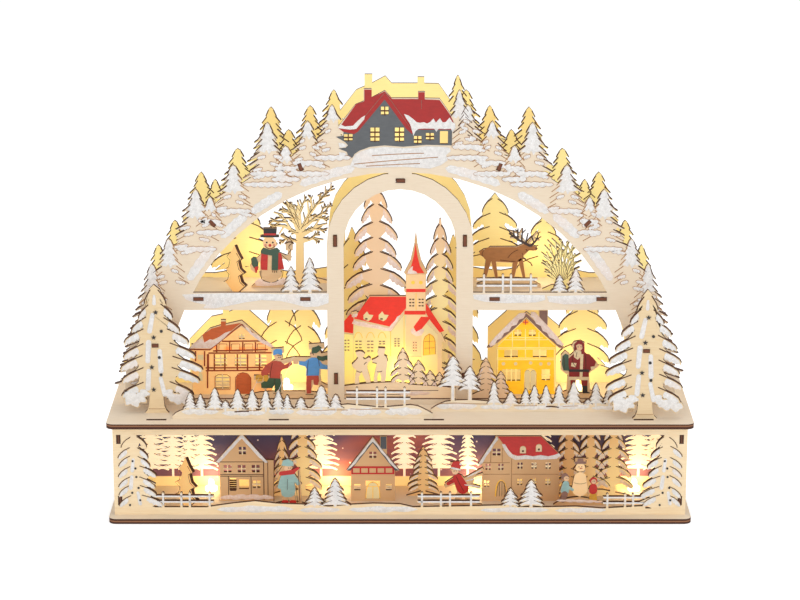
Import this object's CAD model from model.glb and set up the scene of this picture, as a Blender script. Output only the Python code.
"""Lit wooden candle arch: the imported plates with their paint, engraving, snow and warm light."""
import math

import bpy
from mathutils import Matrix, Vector


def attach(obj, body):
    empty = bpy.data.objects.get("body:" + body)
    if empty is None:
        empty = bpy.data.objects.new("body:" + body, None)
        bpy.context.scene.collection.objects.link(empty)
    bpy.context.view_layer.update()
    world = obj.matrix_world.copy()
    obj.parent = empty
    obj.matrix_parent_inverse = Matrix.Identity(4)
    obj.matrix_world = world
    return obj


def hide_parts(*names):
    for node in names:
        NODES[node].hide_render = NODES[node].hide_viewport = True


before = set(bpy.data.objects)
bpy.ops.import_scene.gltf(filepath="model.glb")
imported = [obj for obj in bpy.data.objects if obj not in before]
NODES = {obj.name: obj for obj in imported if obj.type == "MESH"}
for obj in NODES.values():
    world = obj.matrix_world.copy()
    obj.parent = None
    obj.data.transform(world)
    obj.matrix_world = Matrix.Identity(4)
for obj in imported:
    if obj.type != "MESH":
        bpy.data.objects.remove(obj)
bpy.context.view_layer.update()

BODY = "arch"

# Lengths are millimetres, and the scene's own unit is the metre

MM = 0.001
PLY = 3.0
FLOOR = 4.0
BOARD = 81.0
SHELF = 168.5

# Front faces of the plates

PANEL_Y = -50.0
NEAR_Y = -46.0
LEFT_FIR_Y = -32.0
STAGE_FIGURE_Y = -30.0
FAR_Y = -29.0
STAGE_HOUSE_Y = -20.0
ARCH_Y = -12.0
STAGE_FIR_Y = -8.0
MIDDLE_Y = -2.0
FIGURE_Y = 4.0
BUSH_Y = 8.0
HOUSE_Y = 12.0
SHELF_FIGURE_Y = 15.0
CARD_Y = 15.0
CHURCH_Y = 20.0
TREE_Y = 28.0
INNER_FIR_Y = 32.0
BACK_Y = 45.0

# The camera that the photograph was fitted to, and the picture's half width and half height

CAMERA_Y = -1956.3
CAMERA_Z = 723.6
CAMERA_TILT = 16.0
CAMERA_LENS = 117.9
SENSOR = 36
HALF_WIDE = 400
HALF_HIGH = 300
FOCAL = CAMERA_LENS / SENSOR * 2 * HALF_WIDE

# Layers of paint: how far each level stands before the last, and the hair between its outlines.
# Bars of windows lap over the wall on either side

LAYER = 0.12
HAIR = 0.008
STEPS = 7
WELD = 0.000002
BAR_LAP = 0.3
BAR_THICK = 1.2


# Colour and shader maths

def tone(code):
    """Linear colour from the six figures of a screen colour."""
    def channel(i):
        value = int(code[i:i + 2], 16) / 255
        return value / 12.92 if value <= 0.04045 else ((value + 0.055) / 1.055) ** 2.4
    return (channel(0), channel(2), channel(4), 1.0)


class Value:
    """One socket of a material, so that a mask can be written as a sum."""

    def __init__(self, finish, socket):
        self.finish = finish
        self.socket = socket

    def math(self, operation, *others):
        inputs = dict(enumerate((self,) + others))
        return self.finish.add("ShaderNodeMath", {"operation": operation}, inputs)

    def __add__(self, other):
        return self.math("ADD", other)

    def __sub__(self, other):
        return self.math("SUBTRACT", other)

    def __mul__(self, other):
        return self.math("MULTIPLY", other)

    def __rsub__(self, other):
        inputs = {0: other, 1: self}
        return self.finish.add("ShaderNodeMath", {"operation": "SUBTRACT"}, inputs)

    __radd__ = __add__

    def size(self):
        return self.math("ABSOLUTE")

    def over(self, low, high):
        """0 below low, 1 above high and a smooth ramp between them."""
        inputs = {"Value": self, "From Min": low, "From Max": high}
        return self.finish.add("ShaderNodeMapRange", {"interpolation_type": "SMOOTHSTEP"}, inputs)

    def under(self, low, high):
        return 1 - self.over(low, high)


class Finish:
    """A material whose nodes are written as expressions."""

    def __init__(self, name):
        self.material = bpy.data.materials.new(name)
        self.material.use_nodes = True
        self.tree = self.material.node_tree
        self.shader = self.tree.nodes["Principled BSDF"]
        coords = self.add("ShaderNodeTexCoord", out="Object")
        self.place = self.add("ShaderNodeVectorMath", {"operation": "SCALE"}, {0: coords, "Scale": 1 / MM})
        self.x, self.y, self.z = (self.add("ShaderNodeSeparateXYZ", {}, {0: self.place}, axis)
                                  for axis in "XYZ")

    def add(self, kind, settings=None, inputs=None, out=0):
        node = self.tree.nodes.new(kind)
        for key, value in (settings or {}).items():
            setattr(node, key, value)
        self.feed(node, inputs or {})
        return Value(self, node.outputs[out])

    def feed(self, node, inputs):
        for key, value in inputs.items():
            if isinstance(value, Value):
                self.tree.links.new(value.socket, node.inputs[key])
            else:
                node.inputs[key].default_value = value

    def facing(self, axis):
        """How squarely the surface faces along an axis, from 0 to 1."""
        normal = self.add("ShaderNodeNewGeometry", out="Normal")
        inputs = {0: normal, 1: axis}
        dot = self.add("ShaderNodeVectorMath", {"operation": "DOT_PRODUCT"}, inputs, "Value")
        return dot.size()

    def noise(self, size, detail=2.0, stretch=(1, 1, 1), shift=0.0):
        """Soft noise whose blobs are about size millimetres wide, stretched along the axes."""
        scale = tuple(1 / (size * s) for s in stretch)
        inputs = {"Vector": self.place, "Location": (shift, 0, 0), "Scale": scale}
        mapped = self.add("ShaderNodeMapping", {}, inputs)
        return self.add("ShaderNodeTexNoise", {}, {"Vector": mapped, "Scale": 1.0, "Detail": detail}, "Fac")

    def blend(self, mask, first, second, kind="MIX"):
        """The first colour where the mask is 0 and the second where it is 1."""
        settings = {"data_type": "RGBA", "blend_type": kind}
        return self.add("ShaderNodeMix", settings, {0: mask, 6: first, 7: second}, 2)

    def bump(self, height, depth):
        return self.add("ShaderNodeBump", {}, {"Height": height, "Distance": depth * MM}, "Normal")

    def away(self, x, z):
        """Distance from a lamp, as it is seen from the front."""
        return ((self.x - x) * (self.x - x) + (self.z - z) * (self.z - z)).math("SQRT")

    def surface(self, color, roughness, normal=None, glow=None, strength=0.0, metallic=0.0):
        sockets = {"Base Color": color, "Roughness": roughness, "Metallic": metallic}
        if normal is not None:
            sockets["Normal"] = normal
        if glow is not None:
            sockets["Emission Color"] = glow
            sockets["Emission Strength"] = strength
        self.feed(self.shader, sockets)
        return self.material


def most(masks):
    """The highest of some masks, place by place."""
    first, *others = masks
    for other in others:
        first = first.math("MAXIMUM", other)
    return first


# Finishes

AXIS_X = (1, 0, 0)
AXIS_Y = (0, 1, 0)
AXIS_Z = (0, 0, 1)
ALONG_X = (14, 1, 1)
ALONG_Y = (1, 14, 1)
BIRCH = "e9d8c0"
BIRCH_STREAK = "e2ceb3"
BURNT = "42200f"
BURNT_CORE = "9c6a48"
PLATE_CORE = 0.3
BOARD_CORE = 0.9
BURNT_SHINE = (0.02, 0.006, 0.0, 1)
LIT_SHARE = 0.66
DIM = (0.5, 0.42, 0.3, 1)
WHITE = (1, 1, 1, 1)


def scaled(code, share):
    """A screen colour as a linear one, darker or lighter by a share."""
    return tuple(c * share for c in tone(code)[:3]) + (1.0,)


def burnt_edge(finish, axis, first):
    """Mask of the cut edges, and their colour with the paler middle ply."""
    edge = finish.facing(axis).under(0.5, 0.62)
    depth = {AXIS_X: finish.x, AXIS_Y: finish.y, AXIS_Z: finish.z}.get(axis, finish.y)
    core = (depth - (first + PLY / 2)).size().under(0.3, 0.7)
    brown = finish.blend(core * (BOARD_CORE if axis == AXIS_Z else PLATE_CORE), tone(BURNT),
                         tone(BURNT_CORE))
    return edge, brown


def plywood(name, axis=AXIS_Y, first=0.0, along=ALONG_X, face=BIRCH, streak=BIRCH_STREAK):
    """Birch ply with burnt edges: the axis that its faces look along, and where the first one lies."""
    finish = Finish(name)
    grain = finish.noise(0.8, 4.0, along)
    cloud = finish.noise(30, 2.0)
    fleck = finish.noise(0.5, 2.0, tuple(a * 0.8 for a in along), 7.0)
    wood = finish.blend(grain.over(0.3, 0.8) * 0.75, tone(face), tone(streak))
    wood = finish.blend(cloud.over(0.4, 0.7) * 0.3, wood, tone(streak))
    wood = finish.blend(fleck.over(0.68, 0.74) * 0.25, wood, tone("b98f5c"))
    edge, brown = burnt_edge(finish, axis, first)
    color = finish.blend(edge, wood, brown)
    rough = 0.55 + grain * 0.2 + edge * 0.15
    return finish.surface(color, rough, finish.bump(grain, 0.04))


def lit_plate(name, face, deep, lamps, strength, first=0.0, axis=AXIS_Y, share=LIT_SHARE, dim_glow=DIM):
    """Plate in the warm light of the lamps, brightest near them: lamps are x, z and reach."""
    finish = Finish(name)
    grain = finish.noise(0.9, 4.0, ALONG_X)
    drift = (finish.noise(22, 2.0) - 0.5) * 20
    pool = most([(finish.away(x, z) + drift).under(reach * 0.15, reach) for x, z, reach in lamps])
    edge, brown = burnt_edge(finish, axis, first)
    bright, dim = scaled(face, share), scaled(deep, share)
    wood = finish.blend(pool, dim, bright)
    wood = finish.blend(grain.over(0.3, 0.8) * 0.3, wood, dim)
    color = finish.blend(edge, wood, brown)
    warm = finish.blend(pool, tone(deep), tone(face))
    dark = finish.blend(pool, dim_glow, WHITE)
    shine = finish.blend(1.0, warm, dark, "MULTIPLY")
    shine = finish.blend(edge, shine, BURNT_SHINE)
    return finish.surface(color, 0.65, finish.bump(grain, 0.04), shine, strength)


def snow(name, low="d9d6d3", high="eae7e4", blush="ecd8ca"):
    """Thick white paint with fine glitter in it."""
    finish = Finish(name)
    lumps = finish.noise(2.6, 4.0)
    fine = finish.noise(0.5, 2.0)
    sparkle = finish.noise(0.6, 0.0, (1, 1, 1), 31.0)
    warmth = finish.noise(26, 1.0, (1, 1, 1), 5.0)
    white = finish.blend(lumps.over(0.3, 0.7), tone(low), tone(high))
    white = finish.blend(warmth.over(0.5, 0.75) * 0.5, white, tone(blush))
    white = finish.blend(sparkle.over(0.7, 0.74) * 0.7, white, tone("fdfdff"))
    rough = 0.75 - sparkle.over(0.68, 0.73) * 0.45
    return finish.surface(white, rough, finish.bump(lumps * 0.8 + fine * 0.2, 0.25))


def paint(name, code, roughness=0.5, shade=0.82, shine=0.0):
    """Brushed enamel with soft streaks, lit from behind where shine is given."""
    finish = Finish(name)
    streak = finish.noise(1.4, 3.0, (3, 1, 1))
    cloud = finish.noise(7, 2.0)
    worn = streak.over(0.3, 0.7) * 0.6 + cloud.over(0.4, 0.7) * 0.4
    color = finish.blend(worn, tone(code), scaled(code, shade))
    glow = color if shine else None
    return finish.surface(color, roughness, finish.bump(streak, 0.05), glow, shine)


def moulded(name, code):
    finish = Finish(name)
    speck = finish.noise(0.3, 2.0)
    return finish.surface(finish.blend(speck, tone(code), scaled(code, 1.5)), 0.45, finish.bump(speck, 0.03))


def metal(name):
    finish = Finish(name)
    brushed = finish.noise(0.4, 2.0, (20, 1, 1))
    color = finish.blend(brushed, tone("8f949a"), tone("c3c7cb"))
    return finish.surface(color, 0.3, finish.bump(brushed, 0.01), metallic=1.0)


def bulb(name):
    finish = Finish(name)
    glow = finish.blend(finish.noise(2.0), tone("ffd98a"), tone("fff2cf"))
    return finish.surface(tone("ffe9b8"), 0.25, None, glow, 3.0)


def dusk(name):
    """Printed card: a dusk sky with flakes over bright snow. The light firs are pieces of their own."""
    finish = Finish(name)
    cloud = finish.noise(60, 4.0)
    wisp = finish.noise(18, 4.0, (3, 1, 1), 3.0)
    height = finish.z + (cloud - 0.5) * 26
    sky = finish.blend(height.over(14, 46), tone("8a5f70"), tone("46456c"))
    fire = (finish.x + 42 - finish.z * 0.9).size().under(6, 60) * wisp.over(0.25, 0.65)
    sky = finish.blend(fire * 0.8, sky, tone("d0704a"))
    sky = finish.blend(wisp.over(0.5, 0.8) * 0.35, sky, tone("6f5d92"))
    ground = finish.z.under(11.6, 12.6)
    color = finish.blend(ground, sky, tone("fbe9b4"))
    flake = finish.add("ShaderNodeTexVoronoi", {}, {"Vector": finish.place, "Scale": 0.13}, "Distance")
    color = finish.blend(flake.under(0.06, 0.12), color, tone("f6ecea"))
    lamps = most([finish.away(x, PRINT_LAMP_Z).under(2, 40) for x, *_ in STAGE_LAMPS])
    glow = finish.blend(lamps, (0.12, 0.11, 0.15, 1), tone("ffcf8a"))
    glow = finish.blend(ground * 0.7, glow, tone("ffe2a4"))
    shine = finish.blend(1.0, color, glow, "MULTIPLY")
    return finish.surface(color, 0.7, None, shine, 0.5)


def dress(material, *names):
    for name in names:
        mesh = NODES[name].data
        mesh.materials.clear()
        mesh.materials.append(material)


# Lamps: x, height and the reach of their light. The print on the card is bright round a height of its own

ARCH_LAMPS = [(-150, 120, 90), (-90, 96, 110), (140, 96, 110), (0, 100, 110), (-110, 230, 110),
              (110, 230, 110), (0, 300, 120), (-190, 180, 70), (190, 180, 70)]
STAGE_LAMPS = [(-150, 14, 70), (-52, 14, 80), (60, 14, 70), (186, 14, 70)]
PRINT_LAMP_Z = 16


# Woods of the plates that firs are cut from: each is its finish and its slot

TURN = 39.0
TURNED_AXIS = (math.sin(math.radians(TURN)), math.cos(math.radians(TURN)), 0)
HILL_WOOD = (ALONG_X, "ecdcc2", "e4cda8")
FIR_WOOD = (ALONG_X, "e8d0a8", "e0c294")
BACK_DIM = (0.92, 0.84, 0.66, 1)
PEACH_DIM = (0.72, 0.62, 0.5, 1)
TREE_DIM = (0.7, 0.6, 0.45, 1)
CREAM_DIM = (0.72, 0.66, 0.52, 1)
CUT_ARCH = (plywood("arch birch", AXIS_Y, ARCH_Y), "birch")
CUT_BACK = (lit_plate("lit back birch", "fdeca2", "f4d284", ARCH_LAMPS, 0.38, BACK_Y, AXIS_Y, 0.72,
                      BACK_DIM),
            "lit_birch")
CUT_PANEL = (plywood("panel birch", AXIS_Y, PANEL_Y, ALONG_X, "f5dfba", "ecd0a4"), "birch")
CUT_NEAR = (plywood("near hill birch", AXIS_Y, NEAR_Y, *HILL_WOOD), "snow_paint")
CUT_FAR = (plywood("far hill birch", AXIS_Y, FAR_Y, *HILL_WOOD), "snow_paint")
CUT_LEFT_FIR = (plywood("left fir birch", AXIS_Y, LEFT_FIR_Y, *FIR_WOOD), "snow_paint")
CUT_RIGHT_FIR = (plywood("right fir birch", AXIS_Y, NEAR_Y, *FIR_WOOD), "snow_paint")
CUT_MIDDLE = (lit_plate("middle hill amber", "f8dcb4", "f0c39a", ARCH_LAMPS, 0.26, MIDDLE_Y, share=0.78),
              "amber_birch")
CUT_PEACH = (lit_plate("middle firs amber", "fbe8a4", "f2d2ae", [(0, 96, 80), (44, 150, 60)], 0.34,
                       INNER_FIR_Y, AXIS_Y, 0.8, PEACH_DIM), "amber_birch")
CUT_TREE = (lit_plate("bare tree amber", "fbe3a6", "f3cf9c", ARCH_LAMPS, 0.38, TREE_Y, AXIS_Y, 0.78,
                      TREE_DIM),
            "amber_birch")
CUT_TURNED = (lit_plate("turned fir amber", "fbd08a", "f4b468", ARCH_LAMPS + STAGE_LAMPS, 0.44, 0.0,
                        TURNED_AXIS, 0.8, TREE_DIM), "amber_birch")
CUT_BUSH = (lit_plate("bush yellow", "fff2b0", "f8da86", ARCH_LAMPS, 0.5, BUSH_Y), "lit_birch")
CUT_STAGE_FIR = (lit_plate("stage fir amber", "fbdc96", "efb87c", STAGE_LAMPS, 0.44, STAGE_FIR_Y),
                 "amber_birch")

# Boards: finish, the axis that the faces look along, where the first one lies, the grain and the nodes

BOARDS = [
    ("board birch", AXIS_Z, 78.0, ALONG_X, "top_board"),
    ("floor birch", AXIS_Z, 0.5, ALONG_X, "bottom_board"),
    ("back panel birch", AXIS_Y, 47.0, ALONG_X, "base_back_panel"),
    ("left panel birch", AXIS_X, -218.0, ALONG_Y, "base_left_panel"),
    ("right panel birch", AXIS_X, 215.0, ALONG_Y, "base_right_panel"),
    ("left wall birch", AXIS_X, -51.3, ALONG_Y, "inner_wall_left"),
    ("right wall birch", AXIS_X, 48.3, ALONG_Y, "inner_wall_right"),
    ("shelf birch", AXIS_Z, 165.5, ALONG_X, "shelf_left", "shelf_right"),
    ("peg birch", AXIS_Z, ARCH_Y, ALONG_X, "arch_spacer_crown", "fir_peg_left", "fir_peg_right"),
]
SPACERS = {"left_lower": -44.5, "left_upper": -21.7, "right_upper": 21.7, "right_lower": 44.5}
CUT_NODES = [
    (CUT_ARCH, "arch_front_plate"), (CUT_BACK, "arch_back_plate"), (CUT_PANEL, "base_front_panel"),
    (CUT_NEAR, "front_hill_left"), (CUT_FAR, "front_hill_right"), (CUT_LEFT_FIR, "big_fir_left"),
    (CUT_RIGHT_FIR, "big_fir_right"), (CUT_MIDDLE, "middle_hill", "grove"), (CUT_PEACH, "middle_firs"),
    (CUT_TREE, "bare_tree"), (CUT_BUSH, "bush"), (CUT_TURNED, "turned_fir", "stage_turned_fir"),
    (CUT_STAGE_FIR, "stage_firs_left", "stage_fir_middle", "stage_firs_right"),
]
HOUSES = {"chalet": HOUSE_Y, "gable_house": HOUSE_Y, "church": CHURCH_Y}
FIGURES = {"skaters": FIGURE_Y, "father_christmas": FIGURE_Y, "snowman": SHELF_FIGURE_Y,
           "reindeer": SHELF_FIGURE_Y}
STAGE_PLATES = ("stage_house", "stage_skier", "stage_tree_carrier", "stage_snowman_family")


def dress_nodes():
    for (material, _), *names in CUT_NODES:
        dress(material, *names)
    for finish, axis, first, along, *names in BOARDS:
        dress(plywood(finish, axis, first, along), *names)
    for side, angle in SPACERS.items():
        turn = math.radians(angle)
        face = (math.cos(turn), 0, -math.sin(turn))
        dress(plywood(f"spacer birch {side}", face, ARCH_Y, ALONG_Y), f"arch_spacer_{side}")
    for name, first in HOUSES.items():
        finish = name.replace("_", " ") + " birch"
        dress(lit_plate(finish, "f6dcaa", "eebf88", ARCH_LAMPS, 0.3, first), name)
    for name, first in FIGURES.items():
        finish = name.replace("_", " ") + " birch"
        dress(plywood(finish, AXIS_Y, first, ALONG_X, "eccda2", "dfb98a"), name)
    stage = [name for name in NODES if name.startswith(STAGE_PLATES)]
    dress(lit_plate("stage birch", "e8be8c", "dcac7a", STAGE_LAMPS, 0.14, STAGE_HOUSE_Y, share=0.78), *stage)
    dress(dusk("dusk card"), "backdrop_card")
    dress(moulded("black plastic", "1d1d1f"), "battery_box", "battery_door", "switch_body", "switch_knob")
    dress(metal("steel"), "battery_cell_1", "battery_cell_2", "battery_contact_left",
          "battery_contact_right")
    dress(bulb("warm bulb"), *[name for name in NODES if "lamp" in name])


# Outlines, as in the plates themselves: x and height in millimetres

def arc(cx, ch, r, start, end, steps):
    angles = [math.radians(start + (end - start) * i / steps) for i in range(steps + 1)]
    return [(cx + r * math.cos(a), ch + r * math.sin(a)) for a in angles]


def limb(ax, ah, bx, bh, ra, rb=None, steps=6):
    rb = ra if rb is None else rb
    lean = math.degrees(math.atan2(bh - ah, bx - ax))
    return arc(bx, bh, rb, lean - 90, lean + 90, steps) + arc(ax, ah, ra, lean + 90, lean + 270, steps)


def rect(x0, x1, h0, h1):
    return [(x0, h0), (x1, h0), (x1, h1), (x0, h1)]


def arched(x0, x1, h0, h1, steps=8):
    r = (x1 - x0) / 2
    return [(x0, h0), (x1, h0)] + arc(x0 + r, h1 - r, r, 0, 180, steps)


def disc(cx, ch, r, steps=14):
    return arc(cx, ch, r, 0, 360, steps)[:-1]


STAR_POINTS = 5
STAR_WAIST = 0.42


def star(cx, ch, r):
    """Star with its first point up."""
    shape = []
    for i in range(2 * STAR_POINTS):
        angle = math.radians(90 + i * 180 / STAR_POINTS)
        reach = r if i % 2 == 0 else r * STAR_WAIST
        shape.append((cx + reach * math.cos(angle), ch + reach * math.sin(angle)))
    return shape


def waver(seed, step):
    """A small repeatable unevenness, as in the plates."""
    return math.sin(seed * 12.9898 + step * 4.1414)


def dab(ax, ah, bx, bh, rise, drop, lobes=3):
    """Long dab of snow from one end to the other, scalloped below and softly waved above."""
    lower, upper = [], []
    steps = lobes * 5
    for i in range(steps + 1):
        share = i / steps
        x, h = ax + (bx - ax) * share, ah + (bh - ah) * share
        belly = (4 * share * (1 - share)) ** 0.4
        scallop = 0.5 + 0.5 * abs(math.sin(math.pi * lobes * share))
        lower.append((x, h - drop * belly * scallop))
        upper.append((x, h + rise * belly * (0.85 + 0.15 * waver(ax + bh, i // 2))))
    return lower + upper[-2:0:-1]


# Boughs of a fir, along the under side and back along the top: shares of the reach and of the pitch

BOUGH_UNDER = [(0.46, 0.1), (0.54, -0.16), (0.6, -0.12), (0.69, -0.34), (0.75, -0.29), (0.85, -0.48),
               (0.91, -0.43), (0.98, -0.54)]
BOUGH_TOP = [(1.0, -0.3), (0.96, -0.08), (0.8, 0.22), (0.6, 0.48)]
SPRIG_UNDER = [(0.7, -0.12), (0.94, -0.46)]
SPRIG_TOP = [(1.0, -0.26), (0.84, 0.06)]
NOTCH_UP = 0.76
BARE_TIP = 0.7
SNOW_IN = 0.03


class Fir:
    """A fir with drooping boughs, in the plane of its plate."""

    def __init__(self, x, foot, tip, reach, count, core=0.4, ease=0.6, trunk=2.0, base=None, sprigs=False,
                 clear=None, limit=None, reaches=None):
        self.x, self.tip, self.trunk, self.core, self.count = x, tip, trunk, core, count
        self.base = foot if base is None else base
        self.under, self.top = (SPRIG_UNDER, SPRIG_TOP) if sprigs else (BOUGH_UNDER, BOUGH_TOP)
        self.pitch = (tip - foot) / (count + BARE_TIP)
        self.boughs = []
        for sign in (1, -1):
            for i in range(count):
                share = 1 - i / (count + BARE_TIP)
                long = reach * share ** ease * (1 + 0.12 * waver(x + sign, i))
                if reaches:
                    long = reaches[sign][i]
                if limit:
                    long = min(long, abs((limit[1] if sign > 0 else limit[0]) - x))
                height = foot + self.pitch * (i + 0.5 + 0.08 * waver(x - sign, i + 5))
                if clear is None or clear(x + sign * long, height):
                    self.boughs.append((sign, i, long, height))

    def points(self, bough, shares):
        sign, _, reach, height = bough
        return [(self.x + sign * reach * out, height + self.pitch * up) for out, up in shares]

    def outline(self):
        sides = {1: [], -1: []}
        for bough in self.boughs:
            sides[bough[0]] += self.points(bough, self.under + self.top + [(self.core, NOTCH_UP)])
        top = [(self.x + 0.6, self.tip - 0.6), (self.x, self.tip), (self.x - 0.6, self.tip - 0.6)]
        low = min([height for _, _, _, height in self.boughs], default=self.base) - 0.1 * self.pitch
        left, right = self.x - self.trunk, self.x + self.trunk
        stem = [(left, low)] if low > self.base else []
        foot = stem + [(left, self.base), (right, self.base)] + [(right, h) for _, h in stem]
        return sides[1] + top + sides[-1][::-1] + foot

    def edges(self, width=0.26, start=None):
        """Dark line along the top of each bough, flush with its rim."""
        shares = [(self.core if start is None else start, NOTCH_UP)] + self.top[::-1]
        return [[(x, h - 0.6 * width, width) for x, h in self.points(bough, shares)]
                for bough in self.boughs]

    def covers(self, inner=0.5, skip=1, rise=0.08):
        """Snow on the outer part of each bough, in from its rim."""
        under = [(out * 0.97, up + SNOW_IN) for out, up in self.under if out >= inner]
        top = [(out * 0.96, up - rise) for out, up in self.top if out > inner]
        shares = [(inner, 0.14)] + under + top + [(inner + 0.04, 0.5 if inner < 0.5 else 0.36)]
        return [self.points(bough, shares) for bough in self.boughs if bough[1] < self.count - skip]


def lump(cx, ch, rx, rh, seed):
    """Uneven blob of snow."""
    shape = []
    for i in range(16):
        angle = 2 * math.pi * i / 16
        swell = 1 + 0.16 * math.sin(3 * angle + seed * 5) + 0.12 * math.sin(5 * angle + seed * 3)
        shape.append((cx + rx * swell * math.cos(angle), ch + rh * swell * math.sin(angle)))
    return shape


def rimmed(shapes, rim=0.4):
    """The same outlines, a little larger all round."""
    found = []
    for shape in shapes:
        xs, hs = [x for x, _ in shape], [h for _, h in shape]
        cx, ch = (min(xs) + max(xs)) / 2, (min(hs) + max(hs)) / 2
        wide, high = (1 + 2 * rim / (max(side) - min(side)) for side in (xs, hs))
        found.append([(cx + (x - cx) * wide, ch + (h - ch) * high) for x, h in shape])
    return found


def mirrored(shape, middle=0.0):
    """The points of one side, turned over for the other and in the same order."""
    return [(2 * middle - x, h) for x, h in shape]


def openings(windows):
    return [rect(*window[:4]) for window in windows]


def discs(places, r, steps):
    return [disc(x, h, r, steps) for x, h in places]


RAIL = 1.4
POST = 0.65


def fence(rails, *posts):
    """Rails, each x0, x1 and height, and posts: their low end, their high end and then their places."""
    bars = [rect(x0, x1, h, h + RAIL) for x0, x1, h in rails]
    return bars + [rect(x - POST, x + POST, low, high) for low, high, *places in posts for x in places]


# Making of pieces

def linked(name, data):
    """A new object in the scene."""
    item = bpy.data.objects.new(name, data)
    bpy.context.collection.objects.link(item)
    return item


def only(*objects):
    bpy.ops.object.select_all(action="DESELECT")
    for item in objects:
        item.select_set(True)
    bpy.context.view_layer.objects.active = objects[0]


def settle(item, name, brush):
    """Last step of every piece: name, finish, body and place in its own mesh."""
    material, slot = brush
    only(item)
    item.name = name
    item.data.materials.clear()
    item.data.materials.append(material)
    bpy.ops.object.transform_apply(location=True, rotation=True, scale=True)
    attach(item, BODY)
    return item


def close_up(item):
    """Weld the seams of a mesh that came from curves, and turn its faces outwards."""
    only(item)
    bpy.ops.object.mode_set(mode="EDIT")
    bpy.ops.mesh.select_all(action="SELECT")
    bpy.ops.mesh.remove_doubles(threshold=WELD)
    bpy.ops.mesh.normals_make_consistent(inside=False)
    bpy.ops.object.mode_set(mode="OBJECT")


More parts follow.
